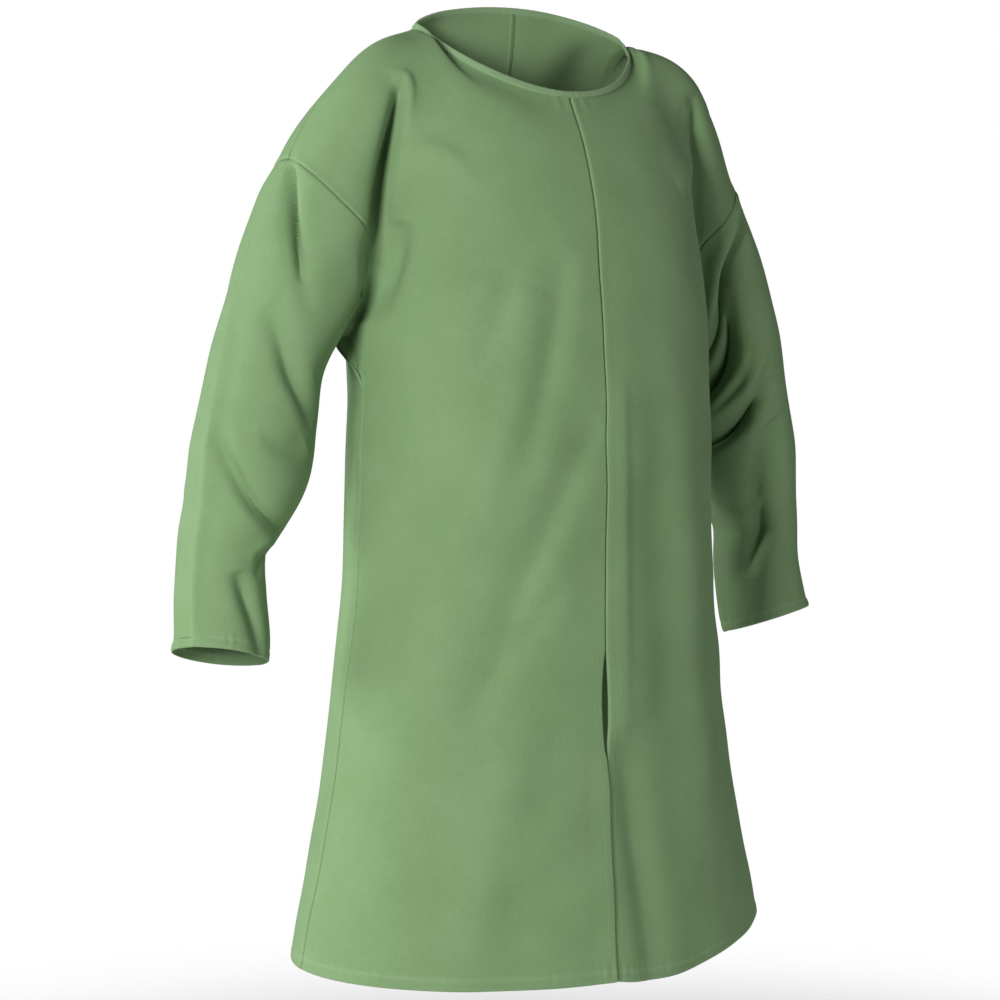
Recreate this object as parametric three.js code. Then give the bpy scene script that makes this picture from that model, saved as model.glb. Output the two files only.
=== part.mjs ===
// A plain tunic of heavy green cotton, standing in its worn form with nobody in it.
// Millimetres, +Z up. The wearer faces -Y and the wearer's right is -X. The origin is the middle of the neck,
// level with the neck points on the shoulders. Each piece of cloth is one wall with two faces.

import * as THREE from "three";

// ---------------------------------------------------------------- driving dimensions

const WALL = 2; // thickness of the cloth with its seams and hems
const SEAM_GAP = 0.3; // room left between two pieces along a seam
const NECK_HALF_WIDTH = 131;
const NECK_DROP_FRONT = 77; // from the neck points down to the front of the neck
const NECK_RISE_BACK = 25;
const NECK_FRONT_Y = -101;
const NECK_BACK_Y = 15;
const BINDING_WIDTH = 8;
const BINDING_WALL = 3.2;
const BINDING_PROUD = 0.6; // its outer face stands this far off the panels
const HEM_SIDE = -996; // height of the hem at the side seams
const HEM_FRONT_DIP = 12; // how much lower it hangs in the middle of the front
const HEM_LEFT_DIP = 15; // and on the front's left half, between the slit and the side
const SLIT_TOP = -660; // the front is open from here down
const SLIT_OPENING = 5; // how far the two front edges part at the hem
const SEAM_TOP = [279, 4, -142]; // sleeve seam: its highest point
const UNDERARM = [221, 16, -325]; // where sleeve seam and side seam meet
const ARM_PLANE_SLANT = 0.35;

const COLUMNS = 17; // points across half a front or back
const NECK_COLUMN = 7; // the column that starts at the neck point
const YOKE_ROWS = 13; // points from the neck to the underarm
const SKIRT_ROWS = 15; // points from the underarm to the hem
const SLEEVE_RINGS = 18;
const ARM_STEPS = 90;

const CLOTH_GREEN = 0x7fa374;
const BINDING_GREEN = 0x86aa7a;

// ---------------------------------------------------------------- tables of sections

// Each table gives a smooth curve for every column over its first column.
function table(names, rows) {
  const sorted = [...rows].sort((a, b) => a[0] - b[0]);
  const keys = sorted.map((row) => row[0]);
  const columns = {};
  names.forEach((name, column) => {
    const values = sorted.map((row) => row[column]);
    const slopes = keys.slice(1).map((key, i) => (values[i + 1] - values[i]) / (key - keys[i]));
    const tangents = values.map((_, i) => {
      if (i === 0) return slopes[0];
      if (i === values.length - 1) return slopes[i - 1];
      return (slopes[i - 1] + slopes[i]) / 2;
    });
    columns[name] = { values, tangents };
  });
  return (name, at) => {
    const x = Math.min(Math.max(at, keys[0]), keys[keys.length - 1]);
    let i = 0;
    while (i < keys.length - 2 && x > keys[i + 1]) i += 1;
    const { values, tangents } = columns[name];
    const h = keys[i + 1] - keys[i];
    const t = (x - keys[i]) / h;
    const t2 = t * t;
    const t3 = t2 * t;
    return (2 * t3 - 3 * t2 + 1) * values[i] + (t3 - 2 * t2 + t) * h * tangents[i]
      + (3 * t2 - 2 * t3) * values[i + 1] + (t3 - t2) * h * tangents[i + 1];
  };
}

// Level sections of the body: half widths to the wearer's right and left, and the front and back faces.
const torso = table(["height", "right", "left", "front", "back"], [
  [40, 58, 58, -30, 15],
  [15, 112, 112, -54, 17],
  [0, 127, 127, -64, 19],
  [-30, 140, 140, -82, 24],
  [-65, 155, 155, -102, 36],
  [-120, 176, 176, -128, 70],
  [-182, 190, 190, -148, 100],
  [-250, 200, 200, -160, 119],
  [-330, 206, 206, -171, 133],
  [-402, 205, 207, -175, 134],
  [-612, 215, 216, -174, 133],
  [-830, 248, 254, -180, 130],
  [-1010, 283, 306, -194, 150],
]);

// How square the level sections are: 2 is an ellipse, below 2 their corners are drawn in.
const squareness = table(["height", "power"], [[40, 2], [-100, 2.2], [-330, 2.25], [-1010, 2.1]]);
const leftFrontSquareness = table(["height", "power"], [[-600, 2.2], [-1010, 1.55]]);

// Sections square to the arm, from inside the shoulder to the cuff.
const ARM_SECTIONS = [
  // out from the middle, height, forward or back, half width across, half width fore and aft
  [108, -64, -6, 60, 50],
  [146, -72, -10, 60, 56],
  [175, -101, -8, 64, 62],
  [207, -154, 9, 67, 68],
  [232, -206, 15, 67, 70],
  [255, -256, 15, 66, 69],
  [279, -308, 15, 60, 68],
  [298, -360, 17, 57, 66],
  [308, -415, 20, 60, 65],
  [317, -465, 22, 62, 64],
  [331, -510, 26, 53, 60],
  [345, -550, 30, 44, 54],
  [347, -600, 29, 48, 50],
  [350, -646, 21, 49, 51],
  [354, -664, 17, 50, 51],
];
const arm = table(["section", "out", "height", "fore", "across", "deep"],
  ARM_SECTIONS.map((row, i) => [i, ...row]));
const ARM_SQUARENESS = 2.1;

// The shoulder line that front and back share, and how far it leans out from upright.
const crest = table(["out", "height", "lean"], [
  [131, -3, 0],
  [158, -9, 13],
  [195, -27, 34],
  [230, -60, 47],
  [256, -94, 53],
  [279, -142, 58],
]);

// How far out the sleeve seam lies: a straight slant from the shoulder's point in to the armhole's crease.
const seamSlant = table(["height", "out"], [
  [-100, 285],
  [-140, 280],
  [-155, 274],
  [-170, 264],
  [-198, 239],
  [-222, 214],
  [-245, 208],
  [-280, 211],
  [-325, 221],
  [-400, 240],
]);

// How softly the arm runs into the body: a sharper crease lower down.
const melt = table(["height", "radius"], [
  [20, 22],
  [-60, 26],
  [-140, 26],
  [-230, 20],
  [-320, 14],
  [-420, 8],
]);

// The way that each point near the sleeve seam is looked for: out, forward, up.
const seamRay = table(["share", "out", "fore", "up"], [
  [0, 0.5, 0, 0.86],
  [0.25, 0.35, 0.8, 0.45],
  [0.5, 0.05, 1, 0.05],
  [0.75, 0, 0.9, -0.35],
  [1, 0.3, 0.4, -0.7],
]);

// Folds of the body. Each runs from one place on the front view to another; depth below zero is a trough.
const BODY_FOLDS = [
  // side, face, from x, from height, to x, to height, half width, depth
  { side: -1, face: "front", x1: -188, z1: -70, x2: -207, z2: -240, width: 15, depth: -11 },
  { side: -1, face: "front", x1: -188, z1: -212, x2: -209, z2: -295, width: 13, depth: -9 },
  { side: -1, face: "front", x1: -184, z1: -143, x2: -128, z2: -162, width: 15, depth: 5 },
  { side: -1, face: "front", x1: -92, z1: -255, x2: -136, z2: -360, width: 17, depth: -3.5 },
  { side: -1, face: "front", x1: -40, z1: -240, x2: -94, z2: -470, width: 22, depth: -5 },
  { side: -1, face: "front", x1: -64, z1: -285, x2: -158, z2: -570, width: 26, depth: 5 },
  { side: -1, face: "front", x1: -10, z1: -420, x2: -152, z2: -745, width: 24, depth: -5.5 },
  { side: -1, face: "front", x1: -100, z1: -720, x2: -190, z2: -1040, width: 34, depth: 5 },
  { side: 1, face: "front", x1: 188, z1: -70, x2: 206, z2: -250, width: 15, depth: -11 },
  { side: 1, face: "front", x1: 150, z1: -10, x2: 226, z2: -60, width: 18, depth: 5 },
  { side: 1, face: "front", x1: 184, z1: -140, x2: 130, z2: -170, width: 15, depth: 4 },
  { side: 1, face: "front", x1: 21, z1: -370, x2: 28, z2: -760, width: 15, depth: 3 },
  { side: 1, face: "front", x1: 62, z1: -300, x2: 120, z2: -1040, width: 34, depth: -5 },
  { side: 1, face: "front", x1: 8, z1: -775, x2: 44, z2: -1060, width: 20, depth: -9 },
  { side: -1, face: "back", x1: -176, z1: -80, x2: -206, z2: -260, width: 20, depth: -8 },
  { side: -1, face: "back", x1: -66, z1: -240, x2: -110, z2: -1040, width: 34, depth: 7 },
  { side: -1, face: "back", x1: -146, z1: -250, x2: -190, z2: -1040, width: 28, depth: -3 },
  { side: -1, face: "back", x1: -196, z1: -200, x2: -120, z2: -330, width: 20, depth: -3 },
  { side: 1, face: "back", x1: 174, z1: -80, x2: 200, z2: -256, width: 20, depth: -8 },
  { side: 1, face: "back", x1: 150, z1: -10, x2: 226, z2: -60, width: 18, depth: 5 },
  { side: 1, face: "back", x1: 52, z1: -260, x2: 84, z2: -1040, width: 30, depth: 6 },
  { side: 1, face: "back", x1: 122, z1: -300, x2: 160, z2: -1040, width: 30, depth: -3 },
  { side: 1, face: "back", x1: 198, z1: -215, x2: 130, z2: -350, width: 20, depth: -3 },
];

// Folds of the sleeves, by degrees round the arm (0 outside, 90 front, 180 inside) and share of its length.
const SLEEVE_FOLDS = [
  { side: -1, turn1: -6, share1: -0.02, turn2: 78, share2: 0.18, width: 12, depth: -10 },
  { side: -1, turn1: -28, share1: 0.0, turn2: -14, share2: 0.26, width: 26, depth: 7 },
  { side: -1, turn1: 40, share1: 0.27, turn2: 126, share2: 0.38, width: 22, depth: -6 },
  { side: -1, turn1: -12, share1: 0.24, turn2: 34, share2: 1.0, width: 12, depth: 4 },
  { side: -1, turn1: 14, share1: 0.59, turn2: 150, share2: 0.56, width: 16, depth: -10 },
  { side: -1, turn1: 136, share1: 0.65, turn2: 98, share2: 0.75, width: 13, depth: 4 },
  { side: -1, turn1: 84, share1: 0.8, turn2: 120, share2: 1.0, width: 16, depth: -6 },
  { side: -1, turn1: 176, share1: 0.5, turn2: 262, share2: 0.57, width: 16, depth: -8 },
  { side: -1, turn1: 196, share1: 0.2, turn2: 300, share2: 0.32, width: 20, depth: -6 },
  { side: 1, turn1: 30, share1: 0.0, turn2: 140, share2: 0.07, width: 14, depth: 6 },
  { side: 1, turn1: 36, share1: 0.05, turn2: 162, share2: 0.13, width: 13, depth: -10 },
  { side: 1, turn1: 88, share1: 0.18, turn2: 176, share2: 0.25, width: 16, depth: -9 },
  { side: 1, turn1: 84, share1: 0.38, turn2: 172, share2: 0.4, width: 18, depth: -9 },
  { side: 1, turn1: 92, share1: 0.49, turn2: 146, share2: 0.84, width: 26, depth: -9 },
  { side: 1, turn1: 184, share1: 0.5, turn2: 268, share2: 0.58, width: 16, depth: -8 },
  { side: 1, turn1: 200, share1: 0.18, turn2: 304, share2: 0.3, width: 20, depth: -6 },
];

// ---------------------------------------------------------------- vectors

const add = (a, b, k = 1) => [a[0] + k * b[0], a[1] + k * b[1], a[2] + k * b[2]];
const sub = (a, b) => [a[0] - b[0], a[1] - b[1], a[2] - b[2]];
const scale = (a, k) => [a[0] * k, a[1] * k, a[2] * k];
const dot = (a, b) => a[0] * b[0] + a[1] * b[1] + a[2] * b[2];
const cross = (a, b) => [a[1] * b[2] - a[2] * b[1], a[2] * b[0] - a[0] * b[2], a[0] * b[1] - a[1] * b[0]];
const unit = (a) => scale(a, 1 / Math.hypot(...a));
const mix = (a, b, t) => a.map((value, i) => value + (b[i] - value) * t);
const span = (count) => Array.from({ length: count }, (_, i) => i / (count - 1));
const radians = (degrees) => (degrees * Math.PI) / 180;
const bell = (x) => Math.exp(-x * x);

// ---------------------------------------------------------------- the worn form

// Distance outside the torso, measured in its level section.
function outsideTorso([x, y, z]) {
  const half = torso(x < 0 ? "right" : "left", z);
  const front = torso("front", z);
  const back = torso("back", z);
  const middle = (front + back) / 2;
  const deep = (back - front) / 2;
  const drawnIn = x > 0 && y < middle && z < -600;
  const power = drawnIn ? leftFrontSquareness("power", z) : squareness("power", z);
  const across = Math.abs(x) / half;
  const along = Math.abs(y - middle) / deep;
  const ratio = (across ** power + along ** power) ** (1 / power) + 1e-9;
  return Math.hypot(x, y - middle) * (1 - 1 / ratio) + Math.max(z - 40, 0);
}

const armLine = span(ARM_STEPS).map((share) => {
  const section = share * (ARM_SECTIONS.length - 1);
  return ["out", "height", "fore", "across", "deep"].map((name) => arm(name, section));
});

// Distance outside the arm, measured in the section square to the arm line.
function outsideArm([x, y, z]) {
  const out = Math.abs(x);
  let nearest = Infinity;
  let row = null;
  for (let i = 0; i < armLine.length - 1; i += 1) {
    const a = armLine[i];
    const b = armLine[i + 1];
    const runX = b[0] - a[0];
    const runZ = b[1] - a[1];
    const along = ((out - a[0]) * runX + (z - a[1]) * runZ) / (runX * runX + runZ * runZ);
    const t = Math.min(Math.max(along, 0), 1);
    const off = Math.hypot(out - a[0] - t * runX, z - a[1] - t * runZ);
    if (off < nearest) {
      nearest = off;
      row = mix(a, b, t);
    }
  }
  const level = y - row[2];
  const ratio = ((nearest / row[3]) ** ARM_SQUARENESS + (Math.abs(level) / row[4]) ** ARM_SQUARENESS)
    ** (1 / ARM_SQUARENESS) + 1e-9;
  return Math.hypot(nearest, level) * (1 - 1 / ratio);
}

// Torso and arm melted together.
function outsideBody(point) {
  const a = outsideTorso(point);
  const b = outsideArm(point);
  const radius = melt("radius", point[2]);
  const near = Math.max(radius - Math.abs(a - b), 0) / radius;
  return Math.min(a, b) - near * near * radius * 0.25;
}

// The body ended by a steep plane through the upper arm, so that no ray runs on down the arm.
function outsideCutBody(point) {
  const pastPlane = Math.abs(point[0]) - UNDERARM[0] - ARM_PLANE_SLANT * (point[2] - UNDERARM[2]);
  return Math.max(outsideBody(point), pastPlane);
}

// First way out of a form along a path, by steps and then by halving.
function firstExit(pathAt, outside, from, to, steps) {
  let low = from;
  let high = to;
  for (let i = 1; i <= steps; i += 1) {
    const at = from + ((to - from) * i) / steps;
    if (outside(pathAt(at)) > 0) {
      high = at;
      break;
    }
    low = at;
  }
  for (let i = 0; i < 22; i += 1) {
    const middle = (low + high) / 2;
    if (outside(pathAt(middle)) > 0) high = middle;
    else low = middle;
  }
  return pathAt((low + high) / 2);
}

// A point of the sleeve seam: 0 top, 90 front, 180 underarm, 270 back.
function sleeveSeam(degrees) {
  const middle = mix(SEAM_TOP, UNDERARM, 0.5);
  const up = scale(sub(SEAM_TOP, UNDERARM), 0.5);
  const reach = Math.hypot(...up);
  const c = Math.cos(radians(degrees));
  const s = Math.sin(radians(degrees));
  return firstExit((at) => {
    const z = middle[2] + at * c * up[2];
    const y = middle[1] + at * (c * up[1] - s * reach);
    return [seamSlant("out", z), y, z];
  }, outsideBody, 0.3, 1.9, 100);
}

// The neckline: 0 front middle, 90 neck point, 180 back middle.
function neckline(degrees) {
  const c = Math.cos(radians(degrees));
  const s = Math.sin(radians(degrees));
  const front = Math.max(c, 0);
  const back = Math.max(-c, 0);
  const drawnIn = c > 0 ? 7 * Math.sin(radians(2 * degrees)) : 0;
  return [
    NECK_HALF_WIDTH * s - drawnIn,
    NECK_FRONT_Y * front ** 0.95 + NECK_BACK_Y * back,
    -3 + (3 - NECK_DROP_FRONT) * front ** 1.1 + (NECK_RISE_BACK + 3) * back ** 1.5,
  ];
}

// Height of the hem: 0 degrees in the middle of the front or back, 90 at the side seam.
function hemHeight(degrees, side, face) {
  if (face === "back") return HEM_SIDE;
  const c = Math.cos(radians(degrees));
  const leftDip = side > 0 ? HEM_LEFT_DIP * Math.sin(radians(2 * degrees)) * c : 0;
  return HEM_SIDE - HEM_FRONT_DIP * c ** 1.5 - leftDip;
}

// ---------------------------------------------------------------- folds

// A soft trough or ridge along a line: a bell across it and a taper towards both ends.
function foldHeight(run, off, length, fold) {
  const share = run / length;
  if (share <= 0 || share >= 1) return 0;
  return fold.depth * bell(off / fold.width) * Math.sin(Math.PI * share) ** 0.7;
}

function bodyFolds(x, z, side, face) {
  let height = 0;
  for (const fold of BODY_FOLDS) {
    if (fold.side === side && fold.face === face) {
      const length = Math.hypot(fold.x2 - fold.x1, fold.z2 - fold.z1);
      const ux = (fold.x2 - fold.x1) / length;
      const uz = (fold.z2 - fold.z1) / length;
      const run = (x - fold.x1) * ux + (z - fold.z1) * uz;
      const off = (x - fold.x1) * uz - (z - fold.z1) * ux;
      height += foldHeight(run, off, length, fold);
    }
  }
  return height;
}

const ARM_GIRTH_RADIUS = 62;
const SLEEVE_LENGTH = 530;

function sleeveFolds(degrees, share, side) {
  let height = 0;
  for (const fold of SLEEVE_FOLDS) {
    if (fold.side === side) {
      const a1 = radians(fold.turn1) * ARM_GIRTH_RADIUS;
      const a2 = radians(fold.turn2) * ARM_GIRTH_RADIUS;
      const l1 = fold.share1 * SLEEVE_LENGTH;
      const l2 = fold.share2 * SLEEVE_LENGTH;
      const length = Math.hypot(a2 - a1, l2 - l1);
      const ua = (a2 - a1) / length;
      const ul = (l2 - l1) / length;
      const middle = (fold.turn1 + fold.turn2) / 2;
      const turn = middle + ((((degrees - middle) % 360) + 540) % 360) - 180;
      const a = radians(turn) * ARM_GIRTH_RADIUS - a1;
      const l = share * SLEEVE_LENGTH - l1;
      height += foldHeight(a * ua + l * ul, a * ul - l * ua, length, fold);
    }
  }
  return height;
}

// ---------------------------------------------------------------- grids of points

const UNDER_LEVEL = UNDERARM[2];

// Evens out a grid inside its edges, so that no point of a crease stands alone.
function evened(grid, rows) {
  let points = grid;
  for (let pass = 0; pass < 2; pass += 1) {
    const before = points;
    points = before.map((row, i) => row.map((point, j) => {
      if (i === 0 || j === 0 || i >= rows || j === row.length - 1) return point;
      const around = add(add(add(before[i - 1][j], before[i + 1][j]), row[j - 1]), row[j + 1]);
      return mix(point, scale(around, 0.25), 0.5);
    }));
  }
  return points;
}

// How fast the yoke's exact edges fade into the points beside them, in shares of its height and its width.
const NECK_FADE = 0.12;
const NECK_COLUMN_FADE = 0.16;
const SEAM_FADE_POWER = 14;

// One half of the front or back: rows from neck and shoulder down to the hem, columns from the middle out.
function bodyGrid(side, face) {
  const facing = face === "front" ? -1 : 1;
  const shares = span(COLUMNS);
  const neckShare = shares[NECK_COLUMN];
  const drops = span(YOKE_ROWS);
  const seam = drops.map((drop) => sleeveSeam(face === "front" ? drop * 180 : 360 - drop * 180));

  // each edge row holds out, height and the ray's direction
  const top = shares.map((u) => {
    const turn = Math.min(u / neckShare, 1);
    if (u <= neckShare) {
      const [x, , z] = neckline(face === "front" ? turn * 90 : 180 - turn * 90);
      const lean = turn ** 2;
      return [x, z, 0.15 * lean, facing * (1 - lean), 0.1 + 0.9 * lean];
    }
    const out = NECK_HALF_WIDTH + ((seam[0][0] - NECK_HALF_WIDTH) * (u - neckShare)) / (1 - neckShare);
    const lean = radians(crest("lean", out));
    return [out, crest("height", out), Math.sin(lean), 0, Math.cos(lean)];
  });
  const outer = drops.map((w, i) => [
    seam[i][0], seam[i][2], seamRay("out", w), facing * seamRay("fore", w), seamRay("up", w),
  ]);
  const bottom = shares.map((u) => {
    const s = Math.sin(radians(u * 90));
    const c = Math.cos(radians(u * 90));
    return [torso("right", UNDER_LEVEL) * s, UNDER_LEVEL, s, facing * c, 0];
  });
  bottom[COLUMNS - 1] = outer[YOKE_ROWS - 1];
  const inner = drops.map((w) => [0, top[0][1] + (UNDER_LEVEL - top[0][1]) * w, 0, facing, 0]);

  // the yoke: a ray for each point, mixed from the four edges, read on the worn form
  const yoke = drops.map((w, i) => shares.map((u, j) => {
    const mixed = [0, 1, 2, 3, 4].map((k) => (1 - w) * top[j][k] + w * bottom[j][k]
      + (1 - u) * inner[i][k] + u * outer[i][k]
      - (1 - u) * (1 - w) * top[0][k] - u * (1 - w) * top[COLUMNS - 1][k]
      - (1 - u) * w * bottom[0][k] - u * w * bottom[COLUMNS - 1][k]);
    const ray = unit(mixed.slice(2));
    const reach = 45 + 150 * w * w * (1 - u ** 4);
    const bodyMiddle = -10 - (8 * mixed[1]) / UNDER_LEVEL;
    const armMiddle = 14 * Math.min(Math.max(mixed[0] - 80, 0) / 220, 1);
    const start = [
      side * (mixed[0] - reach * ray[0]),
      bodyMiddle * (1 - u * u) + armMiddle * u * u,
      mixed[1] - reach * ray[2],
    ];
    const way = [side * ray[0], ray[1], ray[2]];
    return firstExit((at) => add(start, way, at), outsideCutBody, 0, 420, 70);
  }));

  // the skirt: level rays from the middle of the body
  const skirt = span(SKIRT_ROWS).map((v) => shares.map((u) => {
    const turn = radians(u * 90);
    const z = UNDER_LEVEL + (hemHeight(u * 90, side, face) - UNDER_LEVEL) * v;
    const middle = [0, (torso("front", z) + torso("back", z)) / 2, z];
    const way = [side * Math.sin(turn), facing * Math.cos(turn), 0];
    return firstExit((at) => add(middle, way, at), outsideTorso, 0, 420, 70);
  }));

  // draw the yoke on to the exact neckline and sleeve seam, and the two parts on to each other
  const neckShift = shares.map((u, j) => {
    const turn = Math.min(u / neckShare, 1) * 90;
    const exact = neckline(face === "front" ? turn : 180 - turn);
    const shift = sub([side * exact[0], exact[1], exact[2]], yoke[0][Math.min(j, NECK_COLUMN)]);
    return scale(shift, u > neckShare ? bell((u - neckShare) / NECK_COLUMN_FADE) : 1);
  });
  drops.forEach((w, i) => {
    shares.forEach((u, j) => {
      yoke[i][j] = add(yoke[i][j], neckShift[j], bell(w / NECK_FADE));
    });
    const exact = [side * seam[i][0], seam[i][1], seam[i][2]];
    const shift = sub(exact, yoke[i][COLUMNS - 1]);
    shares.forEach((u, j) => {
      yoke[i][j] = add(yoke[i][j], shift, u ** SEAM_FADE_POWER);
    });
  });
  const step = shares.map((_, j) => sub(yoke[YOKE_ROWS - 1][j], skirt[0][j]));
  drops.forEach((w, i) => shares.forEach((u, j) => {
    yoke[i][j] = add(yoke[i][j], step[j], -0.5 * bell((1 - w) / 0.15) * (1 - u ** SEAM_FADE_POWER));
  }));
  const rest = shares.map((_, j) => sub(yoke[YOKE_ROWS - 1][j], skirt[0][j]));
  span(SKIRT_ROWS).forEach((v, i) => shares.forEach((u, j) => {
    skirt[i][j] = add(skirt[i][j], rest[j], bell(v / 0.05));
  }));
  return evened([...yoke, ...skirt.slice(1)], YOKE_ROWS + 2);
}

// The sleeve: rings from the seam to the cuff, each point a number of degrees round the arm.
const SLEEVE_TURNS = 2 * (YOKE_ROWS - 1);
const SLEEVE_HEAD = 0.16; // the share of its length over which the seam's own shape fades out

function sleeveGrid(side) {
  const stations = span(400).map((share) => {
    const section = share * (ARM_SECTIONS.length - 1);
    return {
      middle: [arm("out", section), arm("fore", section), arm("height", section)],
      across: arm("across", section),
      deep: arm("deep", section),
    };
  });
  let length = 0;
  stations.forEach((station, i) => {
    if (i > 0) length += Math.hypot(...sub(station.middle, stations[i - 1].middle));
    station.length = length;
    const next = stations[Math.min(i + 1, stations.length - 1)].middle;
    const before = stations[Math.max(i - 1, 0)].middle;
    const along = unit(sub(next, before));
    station.outward = unit(cross([0, -1, 0], along));
    station.forward = cross(along, station.outward);
  });
  const ringPoint = (at, degrees) => {
    const share = Math.min(Math.max(at / length, 0), 1);
    let i = Math.floor(share * 398);
    while (i < 398 && stations[i + 1].length < at) i += 1;
    while (i > 0 && stations[i].length > at) i -= 1;
    const a = stations[i];
    const b = stations[i + 1];
    const t = Math.min(Math.max((at - a.length) / (b.length - a.length), 0), 1);
    const c = Math.cos(radians(degrees));
    const s = Math.sin(radians(degrees));
    const power = 2 / ARM_SQUARENESS;
    const outward = Math.sign(c) * Math.abs(c) ** power * (a.across + (b.across - a.across) * t);
    const forward = Math.sign(s) * Math.abs(s) ** power * (a.deep + (b.deep - a.deep) * t);
    const middle = mix(a.middle, b.middle, t);
    return add(add(middle, mix(a.outward, b.outward, t), outward), mix(a.forward, b.forward, t), forward);
  };
  const nearest = (point) => stations.reduce((best, station) => {
    const off = Math.hypot(station.middle[0] - point[0], station.middle[2] - point[2]);
    return off < best.off ? { off, length: station.length } : best;
  }, { off: Infinity, length: 0 }).length;

  const turns = Array.from({ length: SLEEVE_TURNS }, (_, k) => (k * 360) / SLEEVE_TURNS);
  const seam = turns.map((turn) => sleeveSeam(turn));
  const atTop = nearest(seam[0]);
  const atUnderarm = nearest(seam[SLEEVE_TURNS / 2]);
  const startMiddle = (atTop + atUnderarm) / 2;
  const startSwing = (atTop - atUnderarm) / 2;
  const starts = turns.map((turn) => startMiddle + startSwing * Math.cos(radians(turn)));
  const shift = turns.map((turn, k) => sub(seam[k], ringPoint(starts[k], turn)));
  return span(SLEEVE_RINGS).map((share) => turns.map((turn, k) => {
    const onArm = ringPoint(starts[k] + (length - starts[k]) * share, turn);
    const point = add(onArm, shift[k], bell(share / SLEEVE_HEAD));
    return [side * point[0], point[1], point[2]];
  }));
}

// ---------------------------------------------------------------- cloth walls

// Outward normals of a grid by the rows and columns beside each point.
function gridNormals(points, closed, outward) {
  const rows = points.length;
  const columns = points[0].length;
  return points.map((row, i) => row.map((_, j) => {
    const above = points[Math.max(i - 1, 0)][j];
    const below = points[Math.min(i + 1, rows - 1)][j];
    const left = closed ? points[i][(j + columns - 1) % columns] : points[i][Math.max(j - 1, 0)];
    const right = closed ? points[i][(j + 1) % columns] : points[i][Math.min(j + 1, columns - 1)];
    return scale(unit(cross(sub(above, below), sub(right, left))), outward);
  }));
}

// Where pieces meet they share one normal, so that their walls stay beside each other.
function shareNormals(pairs) {
  pairs.forEach((group) => {
    const sum = group.reduce((total, [piece, i, j]) => add(total, piece.normals[i][j]), [0, 0, 0]);
    const shared = unit(sum);
    group.forEach(([piece, i, j]) => {
      piece.normals[i][j] = shared;
    });
  });
}

// Draws an edge point back into its own piece by half the gap of a seam, further in the fold of the underarm.
function drawnBack(piece, i, j, towards, rowsFromUnderarm = Infinity) {
  const point = piece.points[i][j];
  const normal = piece.normals[i][j];
  const way = sub(piece.points[towards[0]][towards[1]], point);
  const flat = add(way, normal, -dot(way, normal));
  return add(point, unit(flat), (SEAM_GAP / 2) * (1 + 3 * bell(rowsFromUnderarm / 5)));
}

function meshGeometry(positions, faces) {
  const geometry = new THREE.BufferGeometry();
  geometry.setAttribute("position", new THREE.Float32BufferAttribute(positions, 3));
  geometry.setIndex(faces);
  geometry.computeVertexNormals();
  return geometry;
}

// A closed mesh from a grid: its outer face, its inner face one wall further in, and strips along its edges.
function clothWall(outer, inner, closed, flip) {
  const rows = outer.length;
  const columns = outer[0].length;
  const positions = [];
  [outer, inner].forEach((grid) => grid.forEach((row) => row.forEach((point) => positions.push(...point))));
  const at = (layer, i, j) => layer * rows * columns + i * columns + (j % columns);
  const faces = [];
  const quad = (a, b, c, d) => {
    if (flip) faces.push(a, c, b, a, d, c);
    else faces.push(a, b, c, a, c, d);
  };
  const across = closed ? columns : columns - 1;
  for (let i = 0; i < rows - 1; i += 1) {
    for (let j = 0; j < across; j += 1) {
      quad(at(0, i, j), at(0, i + 1, j), at(0, i + 1, j + 1), at(0, i, j + 1));
      quad(at(1, i, j), at(1, i, j + 1), at(1, i + 1, j + 1), at(1, i + 1, j));
    }
  }
  for (let j = 0; j < across; j += 1) {
    quad(at(0, 0, j), at(0, 0, j + 1), at(1, 0, j + 1), at(1, 0, j));
    quad(at(0, rows - 1, j + 1), at(0, rows - 1, j), at(1, rows - 1, j), at(1, rows - 1, j + 1));
  }
  if (!closed) {
    for (let i = 0; i < rows - 1; i += 1) {
      const end = columns - 1;
      quad(at(0, i + 1, 0), at(0, i, 0), at(1, i, 0), at(1, i + 1, 0));
      quad(at(0, i, end), at(0, i + 1, end), at(1, i + 1, end), at(1, i, end));
    }
  }
  return meshGeometry(positions, faces);
}

const clothMaterial = new THREE.MeshStandardMaterial({ color: CLOTH_GREEN, roughness: 0.85 });
const bindingMaterial = new THREE.MeshStandardMaterial({ color: BINDING_GREEN, roughness: 0.85 });

function clothMesh(name, outer, inner, closed, flip) {
  const mesh = new THREE.Mesh(clothWall(outer, inner, closed, flip), clothMaterial);
  mesh.name = name;
  return mesh;
}

// ---------------------------------------------------------------- the pieces

const LAST = COLUMNS - 1;
const UNDER_ROW = YOKE_ROWS - 1;
const HEM_ROW = YOKE_ROWS + SKIRT_ROWS - 2;

function bodyPiece(name, side, face) {
  const points = bodyGrid(side, face);
  const outward = (face === "front" ? -1 : 1) * side;
  const normals = gridNormals(points, false, outward);
  const folded = points.map((row, i) => row.map((point, j) => {
    const height = j === 0 ? 0 : bodyFolds(point[0], point[2], side, face);
    return add(point, normals[i][j], height);
  }));
  return { name, side, face, points: folded, flip: outward > 0 };
}

const body = {};
for (const side of [-1, 1]) {
  for (const face of ["front", "back"]) {
    const name = `${face}_${side < 0 ? "right" : "left"}`;
    body[name] = bodyPiece(name, side, face);
  }
}

const sleeves = [-1, 1].map((side) => {
  const points = sleeveGrid(side);
  const normals = gridNormals(points, true, side);
  const folded = points.map((row, i) => row.map((point, k) => {
    const calm = 1 - bell(i / 1.2);
    const share = i / (SLEEVE_RINGS - 1);
    return add(point, normals[i][k], calm * sleeveFolds((k * 360) / SLEEVE_TURNS, share, side));
  }));
  return { name: side < 0 ? "sleeve_right" : "sleeve_left", side, points: folded, flip: side > 0 };
});

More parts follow.
